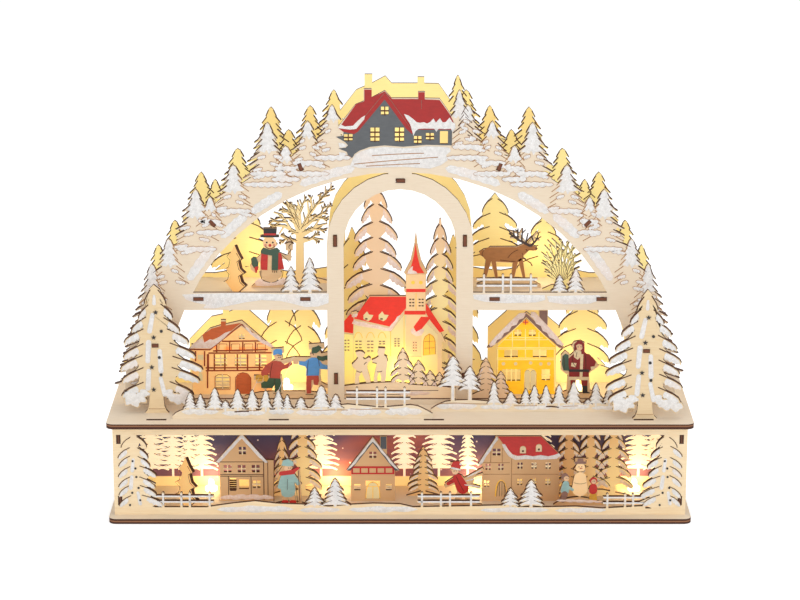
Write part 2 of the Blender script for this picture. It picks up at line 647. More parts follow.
class Plate:
    """An upright plate to paint on: its front face and the height that its outlines start from."""

    def __init__(self, name, front, base=BOARD):
        self.name = name
        self.front = front
        self.base = base
        self.turn = (0.0, 0.0, 0.0)

    def seen(self, *points):
        """Places on the plate, from the pixels where the photograph shows them."""
        tilt = math.radians(CAMERA_TILT)
        found = []
        for px, py in points:
            across, up = (px - HALF_WIDE) / FOCAL, (HALF_HIGH - py) / FOCAL
            reach = (self.front - CAMERA_Y) / (math.cos(tilt) + up * math.sin(tilt))
            height = CAMERA_Z + reach * (up * math.cos(tilt) - math.sin(tilt))
            found.append((across * reach, height - self.base))
        return found

    def seen_all(self, *shapes):
        return [self.seen(*shape) for shape in shapes]

    def place(self, item, part, brush, level):
        x, y, turn = self.turn
        lean = math.radians(turn)
        depth = self.front - LAYER * level
        item.rotation_euler = (math.pi / 2, 0, lean)
        item.location = ((x - depth * math.sin(lean)) * MM, (y + depth * math.cos(lean)) * MM,
                         self.base * MM)
        return settle(item, f"{self.name}_{part}", brush)

    def flat(self, part, shapes, thick):
        """Outlines that are drawn out to one thickness, each a hair before the last."""
        corners, faces = [], []
        for i, shape in enumerate(shapes):
            front = (thick / 2 + HAIR * (i % STEPS)) * MM
            faces.append(range(len(corners), len(corners) + len(shape)))
            corners += [(x * MM, h * MM, front) for x, h in shape]
        mesh = bpy.data.meshes.new(part)
        mesh.from_pydata(corners, [], [list(face) for face in faces])
        item = linked(part, mesh)
        only(item)
        bpy.ops.object.mode_set(mode="EDIT")
        bpy.ops.mesh.select_all(action="SELECT")
        drop = {"value": (0, 0, -(thick + HAIR * STEPS) * MM)}
        bpy.ops.mesh.extrude_region_move(TRANSFORM_OT_translate=drop)
        bpy.ops.mesh.select_all(action="SELECT")
        bpy.ops.mesh.normals_make_consistent(inside=False)
        bpy.ops.object.mode_set(mode="OBJECT")
        return item

    def paint(self, part, brush, shapes, level=1, thick=0.3, soft=0.0):
        """Painted areas. A shape is one outline, or an outline and its holes."""
        if not soft and not any(isinstance(shape[0], list) for shape in shapes):
            return self.place(self.flat(part, shapes, thick), part, brush, level)
        made = []
        for i, shape in enumerate(shapes):
            loops = shape if isinstance(shape[0], list) else [shape]
            curve = bpy.data.curves.new(part, "CURVE")
            curve.dimensions = "2D"
            curve.fill_mode = "BOTH"
            curve.extrude = (thick / 2 + HAIR * (i % STEPS) - soft) * MM
            if soft:
                curve.bevel_depth = soft * MM
                curve.bevel_resolution = 1
                curve.offset = -soft * MM
            for loop in loops:
                spline = curve.splines.new("POLY")
                spline.points.add(len(loop) - 1)
                for point, (x, h) in zip(spline.points, loop):
                    point.co = (x * MM, h * MM, 0, 1)
                spline.use_cyclic_u = True
            made.append(linked(part, curve))
        only(*made)
        bpy.ops.object.convert(target="MESH")
        if len(made) > 1:
            bpy.ops.object.join()
        item = bpy.context.view_layer.objects.active
        close_up(item)
        if soft:
            bpy.ops.object.shade_smooth_by_angle(angle=math.radians(50))
        return self.place(item, part, brush, level)

    def snow(self, part, shapes, level=2, thick=0.7, soft=0.28, brush=None):
        return self.paint(part, brush or SNOW, shapes, level, thick, soft)

    def cut(self, part, brush, shapes, thick=PLY + 0.1):
        """Plywood in the plane of the plate, with a face a hair before the plate's own."""
        return self.paint(part, brush, shapes, -PLY / 2 / LAYER, thick)

    def lines(self, part, brush, rows, level=1, flat=0.7, round_ends=True):
        """Engraved or brushed lines: each row is points of x, height and half width."""
        curve = bpy.data.curves.new(part, "CURVE")
        curve.dimensions = "3D"
        curve.bevel_depth = MM
        curve.bevel_resolution = 0
        curve.use_fill_caps = True
        curve.resolution_u = 3
        for row in rows:
            bent = len(row) > 2 and round_ends
            spline = curve.splines.new("NURBS" if bent else "POLY")
            spline.points.add(len(row) - 1)
            for point, (x, h, r) in zip(spline.points, row):
                point.co = (x * MM, h * MM, 0, 1)
                point.radius = r
            if bent:
                spline.order_u = 3
                spline.use_endpoint_u = True
        only(linked(part, curve))
        bpy.ops.object.convert(target="MESH")
        item = bpy.context.view_layer.objects.active
        item.scale = (1, 1, flat)
        bpy.ops.object.transform_apply(location=False, rotation=False, scale=True)
        close_up(item)
        return self.place(item, part, brush, level)

    def trimmed(self, part, firs, width, start=None, level=2):
        """Dark edges of the boughs of some firs."""
        rows = [row for fir in firs for row in fir.edges(width, start)]
        return self.lines(part, BURN, rows, level, round_ends=False)

    def scored(self, part, brush, width, *paths, level=1, straight=False):
        """Lines of one half width."""
        rows = [[(x, h, width) for x, h in path] for path in paths]
        return self.lines(part, brush, rows, level, round_ends=not straight)

    def drawn(self, part, brush, width, *paths, level=1, straight=False):
        """Lines of one half width along pixels of the photograph."""
        return self.scored(part, brush, width, *self.seen_all(*paths), level=level, straight=straight)

    def muntins(self, part, brush, windows, bar=0.9):
        """Glazing bars across cut windows: each is x0, x1, h0, h1, panes across and panes down."""
        bars = []
        for x0, x1, h0, h1, across, down in windows:
            for i in range(1, across):
                x = x0 + (x1 - x0) * i / across
                bars.append(rect(x - bar / 2, x + bar / 2, h0 - BAR_LAP, h1 + BAR_LAP))
            for i in range(1, down):
                h = h0 + (h1 - h0) * i / down
                bars.append(rect(x0 - BAR_LAP, x1 + BAR_LAP, h - bar / 2, h + bar / 2))
        return self.paint(part, brush, bars, 0, BAR_THICK)


# Thickness and soft edge of the coats of snow

THIN = (0.4, 0.15)
EVEN = (0.5, 0.2)
THICK = (0.6, 0.2)
BOUGH_COAT = (0.6, 0.15)

# Paints: each is its finish and the slot of the record that it belongs to

SNOW = (snow("snow paint"), "snow_paint")
BURN = (paint("burnt line", "54301c", 0.8), "brown_paint")
TAN = (paint("engraved line", "b58559", 0.8), "brown_paint")
SLATE = (paint("slate grey", "5c5f62"), "slate_paint")
ROOF_RED = (paint("roof red", "a81a16"), "red_paint")
BLACK = (paint("black", "2b2829"), "brown_paint")
FIR_GREEN = (paint("fir green", "3f5a49"), "slate_paint")
SKY_BLUE = (paint("sky blue", "5b9fe0"), "slate_paint")
COAT_RED = (paint("coat red", "8f1f20"), "red_paint")
BRIGHT_RED = (paint("bright red", "cb2f2a"), "red_paint")
BRICK_RED = (paint("brick red", "c4503f"), "red_paint")
LEAF_GREEN = (paint("leaf green", "3b5a42"), "slate_paint")
TEAL = (paint("pale teal", "9fc4c0"), "slate_paint")
FUR_BROWN = (paint("fur brown", "b07440", 0.7), "brown_paint")
ANTLER = (paint("antler brown", "4b3a33", 0.7), "brown_paint")
SKIN = (paint("skin", "f2c79c"), "birch")
CREAM = (paint("cream", "f4dcb2"), "birch")
GREY_BROWN = (paint("grey brown", "8f6a5c"), "brown_paint")
MAHOGANY = (paint("mahogany", "a34a25", 0.6, 0.82, 0.12), "brown_paint")
TILE_ORANGE = (paint("tile orange", "c8602e", 0.6, 0.82, 0.15), "brown_paint")
HONEY = (paint("honey wall", "f4be7a", 0.7, 0.9, 0.4), "lit_birch")
SUN_YELLOW = (paint("sun yellow", "fcc21f", 0.6, 0.88, 0.35), "lit_birch")
PALE_LINE = (paint("pale line", "fbe08e", 0.7, 0.95, 0.35), "lit_birch")
LIT_RED = (paint("lit red", "e8301c", 0.6, 0.88, 0.12), "red_paint")
LIT_CREAM = (lit_plate("lit cream", "fff78c", "f2dfae", [(-8, 90, 62), (-46, 110, 40)], 0.42,
                       dim_glow=CREAM_DIM), "lit_birch")
LIT_GOLD = (paint("lit gold", "f0bc46", 0.7, 0.9, 0.35), "lit_birch")
PEACH_SNOW = (snow("peach snow", "ecd2c6", "f6e4da", "f6d6bc"), "snow_paint")
CREAM_SNOW = (snow("cream snow", "f0dcc4", "faeedc", "fbdcae"), "snow_paint")
PRINT_SKY = (paint("print sky", "8a6a78", 0.8, 0.9, 0.1), "dusk_card")
CHARCOAL = (paint("charcoal", "4e5257"), "slate_paint")
BASKET = (paint("basket", "e0a83c"), "lit_birch")
PRINT_WHITE = (paint("print white", "fff4d4", 0.8, 0.97, 0.46), "dusk_card")
BLUSH = (paint("blush", "e9a184"), "birch")
TAB = (paint("tab end", "75432c", 0.8), "brown_paint")
LIT_PEACH = (paint("lit peach", "f0cb98", 0.7, 0.95, 0.16), "lit_birch")


# Cottage on the crown of the arch

CROWN_DOOR = 203.0
COTTAGE_LEFT = -43
COTTAGE_RIGHT = 37
COTTAGE_WINDOWS = [
    (-14.4, -8.7, 27.7, 34.2, 2, 2), (-22.4, -15.6, 7.2, 18, 2, 3), (-3.8, 3, 7.2, 18, 2, 3),
    (-42.5, -36, 7.6, 13, 2, 2), (10.6, 16.3, 5.6, 11.5, 2, 2), (19.7, 25.8, 8.4, 13.8, 2, 2),
]


def paint_cottage():
    cottage = Plate("cottage", ARCH_Y)
    panes = [(x0, x1, CROWN_DOOR + h0, CROWN_DOOR + h1, *count)
             for x0, x1, h0, h1, *count in COTTAGE_WINDOWS]
    door = rect(30.3, 36.4, CROWN_DOOR + 5.3, CROWN_DOOR + 15.3)
    wall = cottage.seen(
        (343.5, 130.5), (358, 130), (384.7, 99), (411, 130.5), (414, 129), (452.2, 128.7), (451.8, 145.3),
        (426, 144.8), (403, 146.7), (384.7, 145.3), (370, 146.8), (359.4, 150.6), (354.5, 154),
        (352.5, 157.5), (340.7, 159), (338.8, 157.6), (345, 156.6), (347.8, 154.8), (346.8, 151.8),
        (338.6, 148.4), (345.5, 147.8), (348.2, 145.4), (345, 142), (336, 136.8), (343.5, 135.6))
    cottage.paint("walls", SLATE, [[wall, *openings(panes), door]])
    cottage.muntins("glazing", BURN, panes)
    cottage.paint("roof", ROOF_RED, cottage.seen_all(
        [(338.8, 128.4), (356, 104.2), (364.3, 101.2), (364.3, 89.6), (371.7, 89.6), (371.7, 97.2),
         (384.7, 91.4), (392, 98.8), (415.5, 127.5), (412, 134), (406, 128.5), (384.7, 99.4), (358, 131.5),
         (354, 134), (343, 131.5)],
        [(390, 99), (418.3, 99), (418.3, 92.2), (424.7, 92.2), (424.7, 99.4), (439.6, 100), (449.6, 114),
         (455.5, 126), (452, 129.5), (414, 129.5)]), 2)
    cottage.drawn("rake_lines", GREY_BROWN, 0.22, [(384.6, 92.6), (353.5, 130)],
                  [(385.4, 92.8), (413, 131.5)], [(421.5, 100), (421.5, 109)], level=3, straight=True)
    cottage.snow("roof_snow", cottage.seen_all(
        [(337.9, 128), (341, 124.5), (345, 126.3), (353, 125.6), (357.5, 120.8), (361.5, 117.3),
         (365.2, 115.2), (364.2, 119.3), (360.4, 123.7), (356.4, 128.8), (350, 129.5), (344, 128.8)],
        [(403.9, 113.8), (408.5, 115.3), (412.7, 118.4), (416.6, 122), (420, 122.6), (424, 122),
         (427, 123.4), (430, 121.9), (433.5, 118.4), (435.8, 122.4), (440, 118), (442.7, 122.3),
         (445.8, 121.8), (449.6, 117.4), (452.3, 121.8), (455, 123.2), (455.6, 127.5), (452.5, 132.4),
         (450.8, 128.6), (445, 129), (438.6, 128.6), (436.3, 131.8), (434.3, 128.6), (425, 128.4),
         (418.4, 128.8), (415.6, 131), (413.4, 135.8), (411.8, 129.7), (410, 123.7), (406.5, 118.7)]), 4)
    cottage.snow("hill_snow", cottage.seen_all(
        [(353, 159), (354.6, 155.4), (359.6, 151.8), (370, 148.4), (384.7, 146.8), (403, 148.2),
         (415, 147.8), (426, 146.2), (440, 146.6), (449.5, 147.6), (451, 151), (446, 155), (448, 160),
         (441, 165), (430, 168.6), (405, 166.8), (380, 167.4), (360, 168), (350, 165.6)],
        [(338.4, 142.6), (344, 143.4), (347.4, 145.6), (344, 147.4), (339.5, 147.6)],
        [(339, 152.2), (344.6, 152.6), (346.6, 154.6), (343.6, 156.2), (339.4, 156)]), 2, *EVEN)
    cottage.drawn("hill_streaks", TAN, 0.35, [(354, 164), (380, 161.4), (410, 159), (438, 157)],
                  [(366, 166), (392, 164.4), (420, 163.4)], [(372, 155.5), (398, 153.6), (424, 153)],
                  level=4)


# Snow and engraving on the arch

ARCH_RIM = 215.0
BAND_OUT = 185.0
BAND_HEART = 4.5
FINE_PITCH = 5.2
LONE_FIR = (45.0, 206.0, 250.0, 11)
SHELF_TAB_X = (-155.6, -73, 73, 155.6)
SPACER_R = 205.0

# Firs of the rim: angle from upright, tip beyond the rim, height and spread

ARCH_FIRS = [
    (12.16, 29, 40, 13), (17.21, 21.6, 40, 13), (22.8, 9.5, 24, 9), (24.07, 31.4, 48, 15),
    (33.48, 15.2, 44, 15), (40.97, 6.2, 26, 9), (42.04, 17.9, 56, 18), (52.95, 7.4, 56, 16),
    (59.17, 7.4, 106, 25),
]
BACK_FIRS = [
    (-124, 88, 160, 24, 4), (74.6, 88, 156, 24, 4), (113.5, 88, 138, 20, 3), (-95, 8, 90, 16, 3),
    (-76, 8, 84, 15, 3), (-38, 4, 128, 22, 4), (42, 4, 122, 22, 4), (145, 8, 92, 22, 4),
]
SMEAR_STEPS = 14
SMEAR_HALF = 3.6

# Strokes of snow on the band: angles from upright and radius

SMEARS = [(10.5, 24, 187), (28.5, 37.2, 187), (38.2, 46.5, 188), (49.2, 59.5, 188)]


def band_smear(start, end, radius, sign):
    """Brushed stroke of snow that follows the band, by its angles from upright."""
    outer, inner = [], []
    for i in range(SMEAR_STEPS + 1):
        share = i / SMEAR_STEPS
        angle = math.radians(90 - sign * (start + (end - start) * share))
        half = SMEAR_HALF * (4 * share * (1 - share)) ** 0.22 * (1 + 0.12 * waver(start, i))
        for side, points in ((1, outer), (-1, inner)):
            r = radius + 1.2 + side * half
            points.append((r * math.cos(angle), BAND_HEART + r * math.sin(angle)))
    return outer + inner[::-1]


def on_band(x, h):
    """Whether the end of a bough is over the band, and not over an opening or the cottage."""
    return h > 5 and math.hypot(x, h - BAND_HEART) > BAND_OUT and not COTTAGE_LEFT < x < COTTAGE_RIGHT


def rim_firs():
    """Firs with fine boughs, cut over the firs of the rim."""
    trees = [LONE_FIR]
    for angle, out, high, spread in ARCH_FIRS:
        turn = math.radians(angle)
        x, tip = (ARCH_RIM + out) * math.sin(turn), (ARCH_RIM + out) * math.cos(turn)
        trees += [(side * x, max(tip - high, 0), tip, spread) for side in (-1, 1)]
    found = []
    for x, foot, tip, spread in trees:
        low = foot + (tip - foot) * 0.08
        count = max(4, round((tip - low) / FINE_PITCH))
        found.append(Fir(x, low, tip, spread * 1.16, count, 0.46, 0.82, 1.5, sprigs=True, clear=on_band))
    return found


def tab_ends():
    ends = [rect(x - 4, x + 4, 84.5, 87.5) for x in SHELF_TAB_X]
    ends += [rect(x - 1.5, x + 1.5, h0, h1) for x in (-49.8, 49.8) for h0, h1 in ((17, 26), (127.7, 136.7))]
    for angle in SPACERS.values():
        turn = math.radians(angle)
        out, up = math.sin(turn), math.cos(turn)
        ends.append([((SPACER_R + dr) * out + dx * up, (SPACER_R + dr) * up - dx * out)
                     for dx, dr in ((-1.5, -3), (1.5, -3), (1.5, 3), (-1.5, 3))])
    return ends


CAP_BOUGH = [(0.74, -0.16), (0.62, 0.2), (0.4, 0.7)]
TALL_FIR = 38
ROW_DROP = 8.4


def cap(fir, tiers):
    """Snow over the tip of a fir, following its boughs, with a ragged foot."""
    top = [bough for bough in fir.boughs if bough[1] >= fir.count - tiers]
    sides = {1: [], -1: []}
    for bough in top:
        sides[bough[0]] += fir.points(bough, CAP_BOUGH)
    low = min(h for _, h in sides[1] + sides[-1])
    ragged = [(fir.x - 2.4, low - 1.6), (fir.x - 0.8, low + 0.6), (fir.x + 1, low - 3),
              (fir.x + 2.6, low - 0.4)]
    return sides[1] + [(fir.x, fir.tip - 1)] + sides[-1][::-1] + ragged


def over_band(shape):
    """Whether a whole outline lies over the band and leaves the cottage's wall and door free."""
    return all(h > 4 and math.hypot(x, h - BAND_HEART) > BAND_OUT + 0.6
               and not (COTTAGE_LEFT < x < COTTAGE_RIGHT + 1 and h > CROWN_DOOR) for x, h in shape)


def arch_dabs(firs):
    """Snow on the rim firs: a cap, dabs on the boughs and lumpy rows at the foot."""
    caps, dabs, rows = [], [], []
    for fir in firs:
        x, tip, pitch = fir.x, fir.tip, fir.pitch
        low = tip - pitch * (fir.count + BARE_TIP)
        capped = 4 if tip - low > TALL_FIR else 2
        if sum(bough[1] >= fir.count - capped for bough in fir.boughs) > 3:
            caps.append(cap(fir, capped))
        for sign, i, reach, height in fir.boughs:
            if reach < 4 or i >= fir.count - capped or (i + (sign > 0)) % 3 == 2:
                continue
            near, far = (0.3, 0.82) if (i + (sign > 0)) % 3 else (0.12, 0.6)
            ends = sorted([(x + sign * reach * near, height + 0.5), (x + sign * reach * far, height - 1)])
            dabs.append(dab(*ends[0], *ends[1], 1.3, 1.9, 3))
        wide = 0.8 * max(bough[2] for bough in fir.boughs)
        for k, share in ((0, 0.9), (1, 1.2)):
            h = low + 5 - ROW_DROP * k
            rows.append(dab(x - wide * share, h - 0.6, x + wide * share, h - 0.6, 2.2, 2.6,
                            max(4, round(wide * share / 2.6))))
    return caps, list(filter(over_band, dabs)), list(filter(over_band, rows))


def paint_rim_firs(arch):
    firs = rim_firs()
    arch.cut("rim_firs", CUT_ARCH, [fir.outline() for fir in firs])
    dark, pale = [], []
    for row in (row for fir in firs for row in fir.edges(0.36)):
        outside = math.hypot(*row[-1][:2]) > ARCH_RIM + 3
        (dark if outside else pale).append(row)
    arch.lines("rim_edges", BURN, dark, 2, round_ends=False)
    arch.scored("bough_edges", TAN, 0.3, *[[point[:2] for point in row] for row in pale])
    smears = [band_smear(*row, sign) for row in SMEARS for sign in (-1, 1)]
    arch.snow("band_snow", smears, 1, *THIN)
    caps, dabs, rows = arch_dabs(firs)
    arch.snow("fir_caps", caps, 1, 0.4, 0.12)
    arch.paint("snow_rims", TAN, rimmed(dabs + rows, 0.35), 2)
    arch.snow("fir_dabs", dabs, 3, 0.7, 0.25)
    arch.snow("fir_rows", rows, 3, 0.7, 0.25)


def paint_sills(arch):
    arch.snow("bar_snow", arch.seen_all(
        [(182, 294.5), (205, 293.6), (240, 293), (280, 294.2), (305, 293.6), (328.6, 293.4), (328.6, 303),
         (318, 306.5), (305, 307), (292, 303.5), (280, 300.8), (262, 300), (245, 302.3), (228, 306),
         (214, 308.4), (203, 308.2), (206, 304.6), (196, 302.8), (186, 299.6)],
        [(473, 294.6), (500, 294), (530, 295), (544.6, 295), (545.5, 299.8), (536, 302.4), (505, 303.2),
         (485, 301.8), (474, 299)],
        [(547, 296), (575, 295.4), (599, 295), (603, 299), (590, 303.6), (565, 304.4),
         (549, 302)]), 1, *THIN)
    sill = [Fir(x, 92, tip, reach, count, 0.45, 0.8, 1.2, 90, sprigs=True) for x, tip, reach, count in (
        (-84, 111.5, 7.2, 4), (-69.5, 118.5, 9, 5), (123, 105, 6.2, 4), (135.4, 110, 7.2, 4))]
    arch.cut("sill_firs", CUT_ARCH, [fir.outline() for fir in sill])
    arch.snow("sill_firs_snow", [snug(fir) for fir in sill], 1, *THIN)
    arch.trimmed("sill_fir_edges", sill, 0.28, 0.2)
    rails = [(59.6, 105.4, 100.8), (59.6, 105.4, 95.8)]
    arch.snow("sill_fence_snow", fence(rails, (93, 104.4, 64.7, 79.3, 85.5, 100.9)), 1, *THIN)


def paint_arch():
    arch = Plate("arch", ARCH_Y)
    paint_rim_firs(arch)
    paint_sills(arch)
    ends = tab_ends() + arch.seen_all(rect(396.1, 405.2, 178.6, 182.6))
    arch.paint("tab_rims", BURN, ends, 5)
    arch.paint("tab_ends", TAB, rimmed(ends, -0.55), 6)


def snug(fir):
    """Snow over a whole small fir, in from its rim."""
    low = fir.tip - fir.pitch * (fir.count + BARE_TIP)
    shrunk = Fir(fir.x, low, fir.tip - 0.5, 1, fir.count, fir.core, 1.0, fir.trunk * 0.7, fir.base + 1.5,
                 sprigs=True)
    shrunk.boughs = [(sign, i, reach * 0.86, height - 0.3) for sign, i, reach, height in fir.boughs]
    return shrunk.outline()


def paint_arch_back():
    back = Plate("arch_back", BACK_Y)
    rim = rim_firs()
    inner = [Fir(x, foot + (tip - foot) * 0.1, tip, spread * 1.12, tiers + 1, 0.3, 0.72, 1.5, foot)
             for x, foot, tip, spread, tiers in BACK_FIRS]
    back.cut("firs", CUT_BACK, [fir.outline() for fir in rim + inner])
    back.trimmed("rim_edges", rim, 0.42, None, 1)
    back.trimmed("fir_edges", inner, 0.4, 0.2, 1)


# Big firs before the arch

STAR_MARKS = [(1, 81), (5, 66), (-1, 61), (3, 45), (-3, 37), (4, 31), (-2, 19)]
TRUNK_FOOT = [(-9.4, 0), (9.4, 0), (7.4, 2), (6, 5.6), (5.4, 11), (5.6, 20), (-5.6, 20), (-5.4, 11),
              (-6, 5.6), (-7.4, 2)]
BIG_REACH = {
    "left": {1: [29, 34, 36.5, 31, 26, 19.5, 14, 9], -1: [27, 26.5, 27.5, 25, 24, 18, 12.5, 7.5]},
    "right": {1: [27, 28.5, 26, 27, 23.5, 19, 13, 8], -1: [28.5, 30.5, 31, 28.5, 24, 19.5, 13, 8]},
}
SLOT_HALF = 7.0


def paint_big_firs():
    for side, x, front, wood in (("left", -188, LEFT_FIR_Y, CUT_LEFT_FIR),
                                 ("right", 188, NEAR_Y, CUT_RIGHT_FIR)):
        tree = Plate(f"{side}_fir", front)
        fir = Fir(x, 13, 103, 31.5, len(BIG_REACH[side][1]), 0.5, 0.55, 5.2, 3, reaches=BIG_REACH[side])
        tab = rect(x - SLOT_HALF, x + SLOT_HALF, -PLY, 1)
        trunk = [(x + dx, h) for dx, h in TRUNK_FOOT]
        whole = tree.cut("boughs", wood, [fir.outline(), trunk, tab])
        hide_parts(f"big_fir_{side}")
        tree.snow("bough_snow", fir.covers(0.5), 1, *BOUGH_COAT)
        tree.trimmed("bough_edges", [fir], 0.42, 0.36)
        bars = [limb(x - 4, 66, x - 1.4, 79, 2, 1.7), limb(x - 6, 42, x - 5, 57, 1.9, 2.1),
                limb(x + 4, 34, x + 3.4, 50, 2, 1.8), limb(x - 6.4, 20, x - 5.4, 34, 2, 1.9),
                limb(x + 6.4, 15, x + 3.6, 28, 1.8, 1.6), limb(x, 88, x + 0.2, 94, 1.5, 1)]
        tree.snow("stem_snow", bars, 1, 0.6, 0.25)
        clusters = [lump(x + dx, h, r, r * 0.8, dx) for dx, h, r in (
            (-20, 13.5, 5), (-13, 12.5, 5), (-9.6, 16, 4), (-16.5, 8.6, 4), (-21, 9.6, 3.6), (9.6, 16, 4),
            (12.5, 12.6, 4), (18, 11, 5), (24, 9.6, 4.6), (21, 13.6, 4))]
        tree.cut("foot_boughs", wood, rimmed(clusters, 0.8))
        tree.snow("foot_snow", clusters, 4, 0.9, 0.3)
        marks = [star(x + dx, h, 2.1) if i % 2 == 0 else disc(x + dx, h, 1.2)
                 for i, (dx, h) in enumerate(STAR_MARKS)]
        tree.paint("star_marks", BLACK, marks, 5)
        tree.scored("foot_line", TAN, 0.2, [(x - 6.5, 3.4), (x, 3.2), (x + 6.5, 3.4)])
        peg = [rect(x - 2.6, x + 2.6, 53, 56)]
        tree.paint("peg_rim", BURN, peg, 5)
        tree.paint("peg_end", TAB, rimmed(peg, -0.5), 6)


# Small firs and fences in front

NEAR_FIRS = [
    (-161, 21, 4.5), (-153, 19.5, 4), (-142, 24.5, 5.5), (-134, 14.5, 4), (-124.5, 23.5, 5.5),
    (-113.3, 23, 5), (-103, 22.5, 4.5), (-93.4, 23, 4.5), (-86.5, 19, 3.5), (-76, 17, 4.5),
    (-60.4, 26.5, 6.5), (-49.3, 19.5, 5),
]
FAR_FIRS = [
    (72.6, 24, 4.5), (85.8, 16, 5), (97.2, 18.5, 4), (104, 21, 4.5), (113, 21, 4.5), (123, 21.5, 4.5),
    (134.4, 24, 5.5), (145.5, 10, 3.5), (151.6, 23, 5), (162, 18, 5), (171, 14, 4),
]


def white_firs(plate, kind, wood, firs, width=0.32, thick=0.5):
    """Small firs, white all over but for the dark tops of their boughs."""
    plate.cut(f"{kind}firs", wood, [fir.outline() for fir in firs])
    plate.snow(f"{kind}fir_snow", [snug(fir) for fir in firs], 1, thick, 0.15)
    plate.trimmed(f"{kind}fir_edges", firs, width, 0.2)


def small_firs(plate, wood, rows, foot, low):
    white_firs(plate, "", wood, [
        Fir(x, low, tip, spread * 1.22, 4 if tip > 18 else 3, 0.5, 0.8, 1.0, foot, sprigs=True)
        for x, tip, spread in rows], 0.26)


def ground_dabs(rows):
    return [dab(x0, h, x1, h + 0.3, rise, drop, 3) for x0, x1, h, rise, drop in rows]


def paint_near_hill():
    near = Plate("near_hill", NEAR_Y)
    small_firs(near, CUT_NEAR, NEAR_FIRS, 4, 8)
    near.snow("ground_snow", ground_dabs([
        (-168, -139, 5.6, 2.4, 3), (-137, -103, 4.4, 2.2, 2.6), (-101, -81, 5.6, 2.2, 2.6),
        (-80, -49, 5, 3, 3), (-46, -14, 5, 4, 3), (-12, 17, 5.2, 4, 3)]), 1, *THIN)
    rails = [(-41, 7.5, 20.6), (-41, 7.5, 15.3)]
    near.snow("fence_snow", fence(rails, (12, 23.8, -33, -17.6, -11.1, 3.5)), 1, *THIN)
    near.scored("fence_edges", BURN, 0.22, [(-41, 22.2), (7.5, 22.2)], [(-41, 16.9), (7.5, 16.9)], level=2)
    near.scored("ground_lines", TAN, 0.25, *[
        [(-150, 7.5), (-143, 6.8), (-136, 7.4)], [(-118, 6.6), (-108, 6.8)],
        [(-75, 7.6), (-62, 6.4), (-52, 7.4), (-40, 7)],
        [(-38, 8), (-28, 7.2), (-16, 8.4), (-8, 7.6)]], level=3)
    near.lines("ground_notches", BURN, [[(-127, 5.5, 0.5), (-122, 6.3, 0.6), (-116, 6, 0.5)]], 3)


def paint_far_hill():
    far = Plate("far_hill", FAR_Y)
    small_firs(far, CUT_FAR, FAR_FIRS, 3, 6)
    tall = [Fir(x, low, tip, reach, count, 0.42, 0.7, 1.4, 8, sprigs=True) for x, low, tip, reach, count in (
        (40.8, 20, 45, 11, 5), (54, 17, 36.5, 9.5, 4))]
    white_firs(far, "tall_", CUT_FAR, tall)
    far.snow("ground_snow", ground_dabs([
        (28, 60, 4.4, 2.6, 3), (62, 86, 3.6, 2.2, 2), (88, 118, 3.2, 2, 2), (120, 147, 3.6, 2.2, 2.2),
        (148, 174, 3, 1.8, 1.8)]), 1, *THIN)
    far.scored("ground_lines", TAN, 0.25, *[
        [(30, 6.4), (42, 7.4), (56, 6.2), (68, 6.4)], [(88, 5), (96, 4.6), (106, 5)],
        [(126, 4.4), (138, 4.8)]], level=3)
    far.lines("ground_notches", BURN, [[(113, 4.2, 0.5), (118, 4.6, 0.6), (123, 3.6, 0.5)]], 3)


# Firs between and behind the scenes

def dressed_firs(plate, part, wood, firs, width=0.26, node=None, more=(), white=None, inner=0.42):
    """Firs in place of the plain ones, with snow on their boughs and a dark line along the tops."""
    whole = plate.cut(part, wood, [fir.outline() for fir in firs] + list(more))
    if node:
        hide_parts(node)
    covers = [shape for fir in firs for shape in fir.covers(inner, 1, 0.2)]
    plate.snow(f"{part}_snow", covers, 1, 0.4, 0.12, white or PEACH_SNOW)
    plate.trimmed(f"{part}_edges", firs, width, 0.14)


BUSH_STEMS = [(-62, 18), (-48, 24), (-36, 30), (-24, 33), (-12, 36), (0, 37), (13, 36), (25, 34), (37, 29),
              (50, 24), (64, 18)]


def paint_bush():
    bush = Plate("bush", BUSH_Y, SHELF)
    limbs = [[(111, 0), (141, 0), (141, 0.8), (130, 4.5), (118, 4), (111, 0.8)], rect(120, 130, -PLY, 1)]
    edges = []
    for lean, long in BUSH_STEMS:
        turn = math.radians(lean)
        ex, eh = 125 + long * 0.62 * math.sin(turn), 3 + long * (0.4 + 0.6 * math.cos(turn))
        limbs.append(limb(125 + lean * 0.04, 4, ex, eh, 1.3, 0.6, 4))
        edges.append([(125 + lean * 0.04 + 0.5, 8, 0.16), (ex + 0.4, eh + 0.3, 0.2)])
        for sx, sh, tx, th in twigs(125 + lean * 0.04, 4, ex, eh, lean):
            limbs.append(limb(sx, sh, tx, th, 0.8, 0.5, 3))
            edges.append([(sx, sh + 0.6, 0.14), (tx, th + 0.4, 0.2)])
    whole = bush.cut("twigs", CUT_BUSH, limbs)
    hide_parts("bush")
    bush.lines("twig_edges", BURN, edges, 1)


